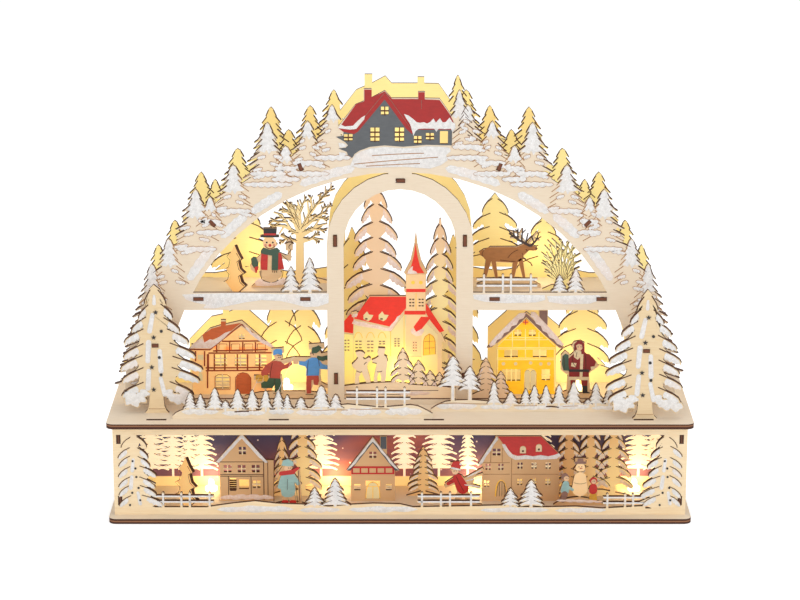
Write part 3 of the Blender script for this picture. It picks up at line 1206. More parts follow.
BRANCHES = [
    (300, 290, 299.5, 228, 3.4, 2.8), (299.5, 232, 291, 214, 2.2, 1.2), (291, 214, 280, 209.5, 1.1, 0.5),
    (294, 219, 285.5, 203, 1.1, 0.5), (299.5, 229, 293, 206, 1.8, 0.8), (294.4, 210, 290, 203, 0.8, 0.5),
    (300, 230, 299, 206, 1.6, 0.8), (299.4, 212, 306, 197.5, 1, 0.5), (299, 207, 297.5, 201, 0.7, 0.5),
    (301, 231, 312, 210, 2, 1), (310, 214, 321, 199, 1.2, 0.5), (312, 208, 310, 196, 0.8, 0.5),
    (316, 205, 328, 192.5, 0.9, 0.4), (320, 200, 333, 186.5, 1, 0.4), (302, 229, 316, 217.5, 1.8, 1),
    (316, 217.5, 327, 211, 1, 0.5), (316, 217.6, 328, 219.4, 0.9, 0.5), (311, 221, 311, 215, 0.8, 0.5),
    (321, 214, 325, 205, 0.7, 0.4), (325, 212, 331, 204, 0.6, 0.4), (302, 234, 312, 229, 1.8, 1.1),
    (312, 229, 326, 230.4, 1.1, 0.5), (303, 239, 310, 239.4, 1.2, 0.8), (310, 239.4, 319, 232.6, 0.8, 0.4),
    (312, 238, 318.6, 242.6, 0.7, 0.4), (298.6, 234, 289.5, 231.2, 1.2, 0.5),
    (297.4, 242, 288, 238.4, 1.3, 0.7), (288, 238.4, 279.6, 243, 0.8, 0.4),
    (287.4, 238.4, 282, 234.4, 0.7, 0.4), (293, 219, 276, 218, 0.9, 0.4),
    (287, 222.4, 269.4, 221.4, 0.8, 0.4), (280, 225.4, 270.6, 227, 0.8, 0.4), (318, 196, 323, 193, 0.6, 0.4),
]


def twigs(ax, ah, bx, bh, seed):
    """Small forks along a branch."""
    found = []
    long, lean = math.hypot(bx - ax, bh - ah), math.atan2(bh - ah, bx - ax)
    for i, (share, side, part) in enumerate(((0.4, 1, 0.4), (0.62, -1, 0.36), (0.82, 1, 0.28))):
        angle = lean + side * (0.62 + 0.16 * waver(seed, i))
        sx, sh = ax + (bx - ax) * share, ah + (bh - ah) * share
        found.append((sx, sh, sx + long * part * math.cos(angle), sh + long * part * math.sin(angle)))
    return found


def paint_bare_tree():
    tree = Plate("bare_tree", TREE_Y, SHELF)
    limbs, edges = [], []
    for px0, py0, px1, py1, r0, r1 in BRANCHES:
        (ax, ah), (bx, bh) = tree.seen((px0, py0), (px1, py1))
        limbs.append(limb(ax, ah, bx, bh, r0, r1, 4))
        if abs(bx - ax) > 1.5:
            edges.append([(ax, ah + r0 * 0.8, 0.2), (bx, bh + r1 * 0.8, 0.2)])
        if r0 < 2.5 and math.hypot(bx - ax, bh - ah) > 5:
            for sx, sh, ex, eh in twigs(ax, ah, bx, bh, px0 + py1):
                limbs.append(limb(sx, sh, ex, eh, 0.6, 0.42, 3))
                edges.append([(sx, sh + 0.4, 0.14), (ex, eh + 0.4, 0.2)])
    tree.cut("crown", CUT_TREE, limbs)
    tree.lines("crown_edges", BURN, edges, 1)
    tips = [disc(*tree.seen((px, py))[0], 0.7, 8) for _, _, px, py, _, r in BRANCHES if r < 0.6]
    tree.paint("twig_ends", BURN, tips, 1)


WALL_CLEAR = (-46.4, 46.4)
PLAYERS = [
    [(356, 354), (355.4, 351.6), (358.6, 350.6), (362.6, 351), (365, 353.4), (364.4, 356), (362.6, 357.4),
     (365.4, 359.4), (368.6, 356.4), (370.6, 357.6), (371, 360.2), (368.4, 362.4), (367, 366), (367.6, 370),
     (369.6, 376.4), (371, 384.4), (367, 384.4), (364, 377.6), (361.6, 372), (358.6, 377), (359.4, 384.4),
     (354.6, 384.4), (355.4, 375.6), (356.6, 370.6), (352.4, 366.6), (351.8, 363.6), (355.6, 360.4),
     (357.6, 357.4)],
    [(378.4, 349.4), (378.2, 347.4), (385, 347.6), (385.4, 350.4), (384, 354.6), (387.4, 356.4),
     (387.8, 362), (386.6, 369.4), (386.4, 376), (384.4, 384.4), (380.6, 384.4), (381, 376.6),
     (379.4, 371.4), (377, 377.6), (377.8, 384.4), (373.4, 384.4), (374.4, 375.6), (376, 368),
     (376.4, 363.4), (372.6, 362.6), (371.8, 359.4), (375.4, 358.2), (378.4, 356), (377.6, 353)],
]


def paint_middle_firs():
    back = Plate("middle_firs", INNER_FIR_Y)
    dressed_firs(back, "tall", CUT_PEACH, [
        Fir(-18.7, 6, 168, 32, 12, 0.2, 0.6, 4, 0, limit=WALL_CLEAR),
        Fir(31.5, 6, 139, 22, 11, 0.22, 0.7, 3.5, 0, limit=WALL_CLEAR)], 0.42, "middle_firs")


def paint_middle_hill():
    hill = Plate("middle_hill", MIDDLE_Y)
    ground = [(-46, 0), (46, 0), (46, 10), (35, 12), (15, 13), (-5, 15.5), (-25, 15), (-46, 12)]
    dressed_firs(hill, "firs", CUT_MIDDLE, [
        Fir(x, foot + 2, tip, spread * 1.2, tiers, 0.36, 0.75, 1.2, foot)
        for x, foot, tip, spread, tiers in (
            (2.3, 12, 43, 9, 4), (14.4, 10, 33, 7, 3), (23.5, 10, 24.5, 5, 2), (31, 10, 23, 5, 2))],
        0.3, "middle_hill", [ground, rect(-5, 25, -PLY, 1)] + hill.seen_all(*PLAYERS))
    hill.lines("ground_lines", BURN, [
        [(-46, 12.2, 0.35), (-25, 15.2, 0.35), (-5, 15.6, 0.35)],
        [(8, 13.6, 0.3), (20, 12.8, 0.3), (35, 12, 0.3), (46, 10.2, 0.35)],
        [(-30, 8, 0.3), (-18, 9.2, 0.3), (-6, 8.2, 0.3)], [(4, 8.8, 0.25), (16, 8, 0.25), (30, 8.6, 0.25)],
        [(-44, 5, 0.25), (-30, 4.4, 0.25), (-12, 5.6, 0.25), (6, 4.6, 0.25)]])
    hill.snow("ground_snow", ground_dabs([(-44, -8, 6.5, 2, 2), (-2, 24, 6, 2, 2)]), 1, *THIN, PEACH_SNOW)
    hill.drawn("players", BURN, 0.3, [(355.4, 351.8), (359, 350.6), (363, 351.2), (365, 353.4)],
               [(352, 364), (355.6, 360.2), (358, 357.6)],
               [(363.6, 358.8), (366.6, 358.4), (369, 356.4), (371, 358)],
               [(378.2, 347.6), (385.2, 347.8)], [(371.8, 359.6), (375.4, 358.4), (378.6, 356)],
               [(384.4, 355), (387.6, 356.6), (387.8, 361)], [(356.6, 370.8), (360, 373), (362, 371.6)],
               [(377, 371.6), (379.6, 372.4), (382, 371)], [(372.4, 362.4), (376.6, 363.4)],
               [(366.6, 362), (364, 364.4)])


def paint_grove():
    grove = Plate("grove", MIDDLE_Y)
    dressed_firs(grove, "firs", CUT_MIDDLE, [
        Fir(67.2, 8, 35, 10.4, 5, 0.42, 0.75, 1.2, 6), Fir(79, 6, 24, 7, 4, 0.42, 0.75, 1, 4)], 0.22)


CHURCH_BARS = [
    (344.6, 349.4, 338.5, 351.6, 4), (355.4, 361.6, 339.5, 352.5, 4), (367.2, 373.4, 339.5, 352.5, 4),
    (378.9, 385, 340, 345, 2), (394.4, 399.6, 337.5, 347, 4), (413, 416.6, 341, 352, 4),
]


def paint_church():
    church = Plate("church", CHURCH_Y)
    church.paint("walls", LIT_CREAM, church.seen_all(
        [(353.6, 322), (391, 331.6), (406, 312), (406, 386), (353.6, 386)],
        [(344, 333.4), (353.4, 334.6), (353.4, 386), (344, 386)],
        [(425.6, 322), (437.6, 334), (437.6, 386), (421.6, 386), (421.6, 334)],
        rect(406.2, 421.4, 356.6, 386)), 1)
    church.paint("tower", LIT_PEACH, church.seen_all(
        rect(406.2, 425.4, 274.4, 310.6),
        rect(406.2, 425.6, 314.6, 356)), 1)
    church.paint("spire", LIT_RED, church.seen_all(
        [(415.6, 243.4), (417.4, 256), (420, 266), (424.2, 273), (407, 273), (411.2, 266), (413.8, 256)],
        rect(406.2, 425.6, 288.8, 292),
        rect(404.4, 425.6, 310.8, 314.4)), 2)
    roof = church.seen((369.9, 296.6), (406, 296.6), (406, 308), (390.4, 326.6), (354, 318.4))
    church.paint("nave_roof", LIT_RED, [roof], 2)
    church.paint("dormers", LIT_CREAM, church.seen_all(*[
        [(px - 3.6, 319), (px - 3.6, 314.9), (px, 311.1), (px + 1.9, 314.4), (px + 6.4, 314.9),
         (px + 3.9, 319.2), (px + 1.2, 321)] for px in (367.1, 382.3)]), 3, 0.24)
    church.paint("dormer_lights", BURN, church.seen_all(*[
        [(px - 2, 319.4), (px - 2, 318), (px + 0.4, 318), (px + 0.4, 319.4)]
        for px in (367.1, 382.3)]), 5, 0.2)
    church.paint("low_roofs", LIT_RED, church.seen_all(
        [(344, 321.2), (350.6, 313.6), (353.6, 318.4), (353, 333.2), (344, 331.8)],
        [(413.6, 326.8), (421, 316.6), (431.2, 317), (424, 326), (421.6, 328.8), (416.2, 331.8)],
        [(425.8, 303), (444.2, 330.8), (439.7, 332.4), (430.6, 320.8), (425.8, 312.6)]), 2)
    church.snow("roof_snow", church.seen_all(
        [(351.8, 323.4), (354, 319.6), (358, 321.6), (364, 322), (370, 324.4), (377, 324.6), (384, 327.2),
         (389, 327.6), (391, 324.4), (395, 320.4), (397, 316.6), (400.6, 314.6), (398, 320), (391, 331),
         (384, 330.6), (376, 328.4), (366, 327), (358, 325.6)],
        [(351.6, 316.8), (353, 313.8), (358, 313.6), (356.4, 317)],
        [(410.4, 329.6), (413, 328), (416.2, 331.6), (421.8, 328.6), (424.4, 329.8), (421.6, 335.2),
         (416, 336.2), (411.6, 333.4)],
        [(407, 273.6), (408.4, 270.4), (411, 267), (413, 266), (412.4, 270), (416.4, 271.6),
         (417.6, 273.8)]),
        3, 0.5, 0.15, PEACH_SNOW)
    rows = []
    for px0, px1, py0, py1, count in CHURCH_BARS:
        for i in range(count):
            py = py0 + (py1 - py0) * (i + 0.5) / count
            middle = (px0 + px1) / 2
            rows += [[(px0, py), (middle - 0.6, py)], [(middle + 0.6, py), (px1, py)]]
    church.drawn("window_bars", GREY_BROWN, 0.45, *rows, level=3, straight=True)
    church.drawn("round_heads", LIT_GOLD, 0.3, *[
        [(px - 4, 338), (px - 3, 333.6), (px, 331.8), (px + 3, 333.6), (px + 4, 338)]
        for px in (358.4, 370.4, 382)],
        [(390.6, 331), (390.6, 356)], [(404, 314.6), (404, 356)], [(416, 293), (416, 310)], level=2)
    church.paint("tower_panes", LIT_PEACH, [rect(6.6, 11.9, 70.1, 79.9), rect(13.1, 18.4, 70.1, 79.9)], 0,
                 0.9)
    church.paint("tower_lights", BURN, church.seen_all(*[
        [(px - 1, py + 0.6), (px - 1, py - 0.6), (px + 1, py - 0.6), (px + 1, py + 0.6)]
        for px in (410.2, 413.2, 419.6, 422.6) for py in (299.2, 302.4, 305.6)]), 4, 0.2)
    church.paint("sound_holes", LIT_GOLD, discs(church.seen((413, 282.4), (420.8, 282.4)), 1.5, 12), 4, 0.2)
    church.paint("door", LIT_GOLD, church.seen_all(
        [(423, 355.4), (423, 341), (424.6, 336.4), (429.2, 333.2), (433.8, 336), (435.6, 341),
         (435.6, 354)]), 4, 0.3)
    church.drawn("door_lines", FUR_BROWN, 0.22,
                 [(423.2, 355), (423.2, 341), (425, 336.4), (429.4, 333.6), (433.4, 336.4), (435.4, 341),
                  (435.4, 354)], [(429.4, 334), (429.4, 354)],
                 [(424.4, 341.4), (434.6, 340.8)], [(424.4, 348), (434.6, 347.4)], level=5)


CHALET_WINDOWS = [
    (-145.3, -134.6, 5.5, 17.5, 2, 4), (-146, -136, 24.5, 33.5, 2, 3), (-130, -121, 24.5, 33.5, 2, 3),
    (-114, -105, 24.5, 33.5, 2, 3), (-144, -138, 37.5, 43, 1, 1), (-132.5, -126.5, 37.5, 43, 1, 1),
    (-121, -115, 37.5, 43, 1, 1), (-111.5, -105.5, 37.5, 43, 1, 1), (-126.5, -121.8, 46.5, 50.5, 2, 2),
]


def paint_chalet():
    chalet = Plate("chalet", HOUSE_Y)
    holes = openings(CHALET_WINDOWS)
    chalet.paint("walls", HONEY, [[rect(-163.4, -101.4, 1, 40)] + holes[:8]] + [
        [[(-150.4, 41), (-102.4, 38.4), (-104, 41), (-124.4, 56), (-147.4, 43.4)]] + holes[4:]], 1)
    chalet.paint("roof", TILE_ORANGE, chalet.seen_all(
        [(202.4, 334.9), (211.6, 328.5), (220.9, 326), (220.9, 321.4), (225.8, 321.4), (225.8, 325.4),
         (241, 322.8), (231, 331), (219.8, 336.6), (204.5, 342.8)]), 2)
    chalet.snow("roof_snow", chalet.seen_all(
        [(190, 348.2), (193.4, 343.2), (197, 340.6), (202, 338.6), (204.4, 342.4), (210, 339), (214, 340),
         (219.8, 336.2), (225, 332.6), (231, 330.6), (224, 338.4), (216.4, 344.4), (210.6, 348.4)],
        [(242.4, 323.4), (249, 328.4), (252, 332), (258, 335), (262, 339.4), (268, 341.4), (274.6, 346.6),
         (272.6, 348), (262, 343), (250, 333.6)]), 4, *THICK, PEACH_SNOW)
    frame_rows = [
        [(241.6, 324.2), (226, 336.6), (209.8, 349.6), (189.6, 349.2)],
        [(241.6, 324.2), (257, 336), (272.6, 348)], [(208.4, 353), (271.8, 352.6)],
        [(213, 350.8), (268, 349.4)], [(222, 341.2), (261.6, 340.8)], [(205.6, 367.8), (263, 367.4)],
        [(205.6, 370.6), (263, 370.2)], [(207.6, 354), (207.6, 388)],
    ] + [[(px, 342), (px, 352)] for px in (216.7, 229.7, 242.8, 255.5)] + [
        [(px, 354), (px, 370)] for px in (208.4, 214.4, 224.9, 237.4, 247.6, 259.6)] + [
        [(195.6, 351), (195.6, 361)], [(204.6, 351), (204.6, 366)]]
    chalet.drawn("beams", MAHOGANY, 0.62, *frame_rows, level=3, straight=True)
    chalet.muntins("glazing", CREAM, CHALET_WINDOWS, 0.8)
    chalet.drawn("window_rims", MAHOGANY, 0.3, *[
        [(px0, 343.8), (px1, 343.8), (px1, 351.2), (px0, 351.2), (px0, 343.8)]
        for px0, px1 in ((219, 227), (231.6, 239.8), (244.4, 252.8), (257.4, 265.4))],
        [(215, 389.4), (215, 376.6), (218, 374.6), (227, 374.6), (230.2, 376.6), (230.2, 389.4),
         (215, 389.4)],
        [(235.4, 391.8), (235.4, 377.8), (238.4, 373.6), (243, 372.4), (247.8, 373.6), (251, 377.8),
         (251, 391.8)],
        level=3, straight=True)
    chalet.paint("door", TILE_ORANGE, [arched(-129.4, -117.4, 1.2, 18.6)], 2)
    chalet.paint("side_windows", LIT_CREAM, chalet.seen_all(
        [(197.8, 354.6), (203.4, 354.6), (203.4, 360.2), (197.8, 359.4)],
        [(198.6, 372), (200.6, 371.6), (202.8, 375), (202.8, 381.2), (198.6, 379.6)]), 2)


GABLE_WINDOWS = [
    (82, 92.7, 31.5, 37.5, 2, 1), (104.4, 115.3, 31.5, 37.5, 2, 1), (89.8, 95, 49, 54, 2, 2),
    (101.2, 106.4, 49, 54, 2, 2), (80.5, 95, 12, 21.5, 4, 1), (111.6, 118.2, 12.5, 21.5, 2, 2),
]
TOP_WINDOW = (96.4, 100.4, 58.5, 62, 2, 2)


def paint_gable_house():
    house = Plate("gable_house", HOUSE_Y)
    holes = openings(GABLE_WINDOWS + [TOP_WINDOW])
    door = arched(97.8, 107.6, 4, 22.3)
    wall = [(76.8, 1), (122.2, 1), (122.2, 42.6), (98.8, 63.4), (76.8, 42.6)]
    house.paint("walls", SUN_YELLOW, [[wall] + holes + [door]], 1)
    house.drawn("pale_beams", PALE_LINE, 0.42, [(496.6, 347.6), (555, 347.6)],
                [(503.4, 339.6), (548, 339.6)], [(496.6, 349), (555, 349)],
                [(496.6, 358), (555, 358)], [(496.6, 359.6), (555, 359.6)], [(512.4, 332), (512.4, 347)],
                [(525.4, 329), (525.4, 347.4)], [(539, 332), (539, 347)], [(509, 337.6), (543, 337.6)],
                [(525.4, 349), (525.4, 358)], [(526.2, 317.4), (497.4, 346)],
                [(526.2, 317.4), (554.6, 345.4)], [(520, 371), (498, 371)],
                [(497.6, 391), (497.6, 349)], [(554.4, 391), (554.4, 349)], level=2, straight=True)
    house.paint("roundels", LIT_CREAM, discs(house.seen(
        (503.4, 363.6), (515.6, 363.6), (530.6, 362.8), (540.8, 363.8), (548.8, 363.6)), 1.4, 14), 2)
    house.muntins("glazing", PALE_LINE, GABLE_WINDOWS)
    house.muntins("top_glazing", BRICK_RED, [TOP_WINDOW])
    house.paint("door_leaf", LIT_CREAM, [arched(98.4, 102.4, 4.2, 20.6), arched(103, 107, 4.2, 20.6)], 0,
                0.8)
    house.paint("roof", GREY_BROWN, [
        [(68.8, 39.4), (72, 39.9), (98.8, 62.9), (98.6, 67.6)],
        [(98.6, 67.6), (98.8, 62.9), (125, 39.4), (128.8, 39)], rect(109.2, 115.4, 56.2, 69.6)], 2)
    house.snow("roof_snow", house.seen_all(
        [(526, 312.4), (519, 313), (512, 319.6), (505, 326.6), (496, 335.6), (488.8, 344), (490.4, 346.4),
         (495, 344.6), (497, 339.8), (501.6, 338), (504, 333), (509, 331), (511.6, 326), (516.6, 324.6),
         (519, 319.6), (523.6, 318)],
        [(531, 311.6), (535, 311.8), (541, 318.6), (549, 327), (557, 336), (564, 344.6), (561.6, 345.6),
         (557, 343.6), (553.6, 339), (549.6, 337.4), (547, 332.8), (542.6, 330.6), (540.6, 325.6),
         (536, 323.4), (533.4, 318.4), (530.4, 316)]), 4, 0.7, 0.25, PEACH_SNOW)


# Figures on the board and the shelves

def paint_skaters():
    skaters = Plate("skaters", FIGURE_Y)
    skaters.paint("blue_cloth", SKY_BLUE, skaters.seen_all(
        [(273, 355.4), (273.4, 350.6), (276, 348.8), (281.4, 349), (282.6, 351.6), (281.8, 355),
         (277.6, 353.8)],
        [(309, 358.6), (312.6, 357.2), (317, 357.8), (320, 360.6), (322.4, 364), (330, 366), (329.6, 369.4),
         (322, 369), (319.6, 368.4), (319, 375.4), (306, 375.6), (306.4, 368.8), (305.4, 366.4),
         (298.8, 364.6), (298.8, 361), (305, 361.4)]), 2)
    skaters.paint("red_cloth", BRICK_RED, skaters.seen_all(
        [(272, 361.2), (277, 360.4), (281, 361.6), (284.6, 364.8), (291.4, 361.4), (292.4, 364), (288, 368),
         (282.6, 369.4), (280.4, 372), (280.2, 378.6), (269.6, 378), (269.4, 372.6), (266.4, 376),
         (261, 376), (261.2, 371.6), (266, 364.8)],
        [(306.6, 375.4), (318.6, 375.4), (319, 381), (317.6, 385), (313.8, 384.6), (313.4, 379.6),
         (311.6, 380), (311, 393.2), (306.8, 393.4), (306.2, 384)]), 2)
    skaters.paint("green_cloth", LEAF_GREEN, skaters.seen_all(
        [(269.4, 377.8), (280.6, 378.4), (281.2, 384), (280.8, 392.2), (275, 392), (274.6, 384.6),
         (272.4, 388), (261.4, 387.8), (261, 383.4), (266, 380)],
        [(311.6, 353), (312.2, 347.6), (316, 346.6), (318.6, 345.2), (321.6, 347.4), (320, 350.4),
         (316.6, 353)],
        [(316.8, 357.6), (317.4, 355.6), (322, 356.4), (327.6, 355), (327.8, 358.6), (323, 361),
         (318.4, 359.8)]), 3)
    skaters.paint("skin", SKIN, skaters.seen_all(
        [(275, 355.4), (280.6, 354.8), (281.6, 357.6), (280.6, 361), (277, 361.2), (275.2, 359)],
        [(309.8, 352), (312, 350.8), (316.4, 352.6), (316.6, 356), (313.6, 357.6), (310.2, 356.4)],
        [(293, 359.8), (298.2, 359.8), (298.2, 364), (293.4, 364.2)],
        [(261.4, 376), (265.2, 376), (265.2, 380), (262, 380.4)]), 2)
    skaters.paint("baskets", BASKET, skaters.seen_all(
        [(256, 375.4), (261, 374.4), (263.4, 377), (262, 381), (257.6, 381.6), (255.4, 378.6)],
        [(263.6, 375), (267.8, 375), (268.6, 378.6), (266.8, 381.4), (263.6, 380.8)]), 3)
    skaters.drawn("folds", BURN, 0.22, [(272.4, 363), (270.6, 370), (270, 377.6)],
                  [(277, 355.4), (281.4, 355)], [(308.4, 360), (307.4, 368), (307.2, 375)],
                  [(313.6, 353.4), (313.4, 355)], [(275, 379), (274.8, 384)], [(256.4, 378), (262.4, 378)],
                  [(318.4, 358.4), (319.4, 366)], [(305.6, 394.2), (313.4, 394.4)],
                  [(273.4, 393.2), (282.4, 393.2)], level=4)
    skaters.paint("eyes", BLACK, discs(skaters.seen(
        (278.8, 357.2), (280.6, 357), (310.8, 353.4), (312.8, 353.2)), 0.42, 8), 4)


def paint_father_christmas():
    father = Plate("father_christmas", FIGURE_Y)
    father.paint("coat", COAT_RED, father.seen_all(
        [(574.6, 343.6), (577.6, 340.9), (581.4, 340.8), (584.4, 343.6), (584.6, 352.6), (588.6, 354.4),
         (593, 357.6), (595.8, 362), (594.4, 366.4), (590, 370.6), (589, 372), (588.8, 377.4), (569, 377.4),
         (569, 370), (567.6, 366), (568.6, 358.4), (573.4, 354)],
        [(570.4, 379.6), (576, 380), (575.4, 386), (570.8, 386)],
        [(581, 380), (587.6, 379.8), (587.2, 386), (582, 386)]), 2)
    father.paint("trim", CREAM, father.seen_all(
        [(568.8, 376.6), (589.4, 376.8), (589.4, 380), (568.8, 379.8)],
        [(580.4, 354), (583.4, 354), (582.4, 376.8), (579.6, 376.8)],
        [(573.6, 351), (577, 349.4), (581.2, 351.4), (581.4, 356), (577.6, 359.6), (574, 357)],
        [(590.6, 366.6), (594.6, 366), (594.8, 369.4), (591, 370)],
        [(571.4, 362.6), (576.6, 363), (575.4, 367), (571, 366)]), 3)
    father.paint("face", SKIN, father.seen_all(
        [(576, 345.4), (578.6, 343.8), (581.8, 344.6), (582.4, 348), (580.6, 350.6), (577.4, 350)]), 4)
    father.paint("dark", BLACK, father.seen_all(
        [(568.8, 369.2), (589, 369.2), (589, 371.8), (568.8, 371.6)],
        [(570.6, 386), (575.6, 386), (574.8, 391), (569, 391.8)],
        [(581.8, 385.6), (587.2, 385.6), (587.4, 391.4), (590.6, 393), (582.6, 393)]), 4)
    father.paint("sack", FIR_GREEN, father.seen_all(
        [(562.4, 356), (565.4, 353.6), (568.6, 355), (568.4, 364), (569.4, 370.6), (563.4, 370.2),
         (561.8, 364)]), 3)
    father.paint("eyes", BLACK, discs(father.seen((578, 346.6), (581, 346.6)), 0.4, 8), 5)
    father.drawn("folds", BURN, 0.22, [(573.6, 354.4), (570.4, 362), (576, 366.4)],
                 [(585, 355), (586.4, 362), (585.4, 369)], [(577, 352), (576, 357)],
                 [(563.6, 356), (564.6, 363), (564, 369)], [(574.4, 344), (575, 352)], level=5)


def paint_snowman():
    man = Plate("snowman", SHELF_FIGURE_Y, SHELF)
    man.paint("head", LIT_PEACH, discs(man.seen((269.6, 243.2)), 5.4, 22), 1)
    man.paint("cheeks", BLUSH, discs(man.seen((265.4, 245), (274, 245)), 1.1, 12), 2)
    man.paint("hat", BLACK, [
        [(-108.4, 40.6), (-94.2, 40.6), (-94.2, 41.8), (-96.4, 42.4), (-95.8, 47.8), (-106, 47.8),
         (-105.8, 42.4), (-108.4, 41.8)]], 3)
    man.paint("hat_band", BRIGHT_RED, [rect(-105.7, -96.5, 42.3, 43.8)], 4)
    man.paint("vest", BRIGHT_RED, man.seen_all(
        [(261.4, 253.4), (264, 251.8), (268, 253), (267.4, 270), (261, 269.6), (260.6, 262)],
        [(277.8, 252.4), (281.4, 253.4), (282.8, 262), (284.2, 268.8), (278, 269.8)]), 2)
    man.paint("scarf", FIR_GREEN, man.seen_all(
        [(260.8, 250.4), (263, 247.2), (270, 249.6), (277, 247.4), (280.2, 250.4), (278.4, 253.2),
         (278, 270), (271.6, 270), (272, 255.4), (264.6, 254.2), (260.6, 253)]), 4)
    man.paint("bag", FIR_GREEN, man.seen_all(
        [(251, 258.6), (253.6, 256.4), (256, 257), (258.6, 263), (258, 268), (254, 268), (251.6, 264)]), 2)
    man.paint("bow", BRIGHT_RED, man.seen_all(
        [(254.4, 267), (258, 266), (258.4, 269.6), (255, 270.8)],
        [(255.6, 270), (257.4, 270), (257, 272.6), (255.2, 272.6)]), 3)
    man.snow("foot_snow", man.seen_all(
        [(254.6, 282.6), (257.4, 279), (260.6, 278.2), (264, 281.4), (270, 282.6), (276, 281.8),
         (281, 278.4), (285, 278.2), (286.4, 281), (283, 284.6), (268, 286),
         (256, 285.6)]), 2, 0.6, 0.25, PEACH_SNOW)
    man.paint("eyes", BLACK, discs(man.seen((266.8, 242.4), (272.8, 242.4)), 0.7, 10), 3)
    man.paint("nose", BRIGHT_RED, discs(man.seen((270, 245.2)), 1.15, 12), 3)
    man.drawn("smile", BURN, 0.3, [(265.4, 246), (267, 248), (270, 248.8), (273, 248), (274.8, 246)],
              level=3)
    man.drawn("outline", BURN, 0.24, [(261, 270.4), (260.2, 277), (264, 281), (270, 282.4)],
              [(283, 269), (283.4, 276), (279, 281), (272, 282.6)],
              [(289.6, 248.6), (287, 246), (292.6, 243)], [(272.6, 270.4), (272.6, 272.4)],
              [(274.4, 270.4), (274.6, 272.8)], [(276.4, 270.4), (276.8, 272.6)],
              [(282, 255), (286.6, 259), (289.6, 262.4)], [(287.4, 254), (289.8, 252.6), (291, 249)],
              level=3)
    man.drawn("perch_roof", BURN, 0.5, [(285.4, 243.4), (289.4, 240.2), (293.6, 243.2)], level=3)


ANTLERS = [
    (529.5, 245.5, 519, 240, 1, 0.9), (519, 240, 509.5, 233.5, 0.9, 0.6),
    (512, 236, 508.4, 229.4, 0.6, 0.45), (514.5, 237.5, 513.6, 230.4, 0.6, 0.45),
    (517.6, 239.2, 518, 228.6, 0.7, 0.45), (521.6, 241, 522.6, 229, 0.7, 0.45),
    (518, 233, 515.6, 229.4, 0.45, 0.4), (522.4, 233, 525.4, 229.8, 0.45, 0.4),
    (525.6, 243.2, 528, 233, 0.7, 0.45), (531, 245.6, 536, 240.4, 0.9, 0.7),
    (536, 240.4, 538.6, 233.6, 0.6, 0.45), (534, 242.6, 531.6, 236, 0.6, 0.45),
    (537, 239, 541, 236.6, 0.5, 0.4),
]


def paint_reindeer():
    deer = Plate("reindeer", SHELF_FIGURE_Y, SHELF)
    deer.paint("coat", FUR_BROWN, [
        limb(70, 27, 90, 26.5, 5.6, 6.2, 8), limb(64.5, 28, 70, 27, 2.6, 4.6), limb(90, 27, 99, 33, 5.1, 3),
        limb(99, 33, 105.5, 31.5, 2.4, 1.5), limb(69, 22, 66, 7.6, 2.1, 0.9),
        limb(73, 21, 75.5, 7.6, 1.7, 0.9), limb(90, 21, 88, 7.6, 1.9, 0.9),
        limb(94, 22, 97, 7.6, 1.7, 0.9)], 1)
    tines = []
    for px0, py0, px1, py1, r0, r1 in ANTLERS:
        (ax, ah), (bx, bh) = deer.seen((px0, py0), (px1, py1))
        tines.append(limb(ax, ah, bx, bh, r0, r1, 3))
    deer.paint("antlers", ANTLER, tines, 3)
    deer.lines("coat_lines", BURN, [
        [(84, 24, 0.2), (87, 29, 0.2), (92, 30.6, 0.2)], [(78, 22.5, 0.2), (84, 21.5, 0.2), (90, 21, 0.2)],
        [(95, 28, 0.2), (97, 25, 0.2), (95, 22, 0.2)], [(98, 31, 0.25), (99.4, 29.4, 0.25)],
        [(65, 30, 0.2), (63, 27, 0.2), (65, 25, 0.2)], [(100, 30.4, 0.2), (104, 30.2, 0.2)]], 4)
    deer.paint("eye", BLACK, [disc(100.6, 33.6, 0.55, 10), disc(106, 31.8, 0.6, 10)], 4)


# Front of the box

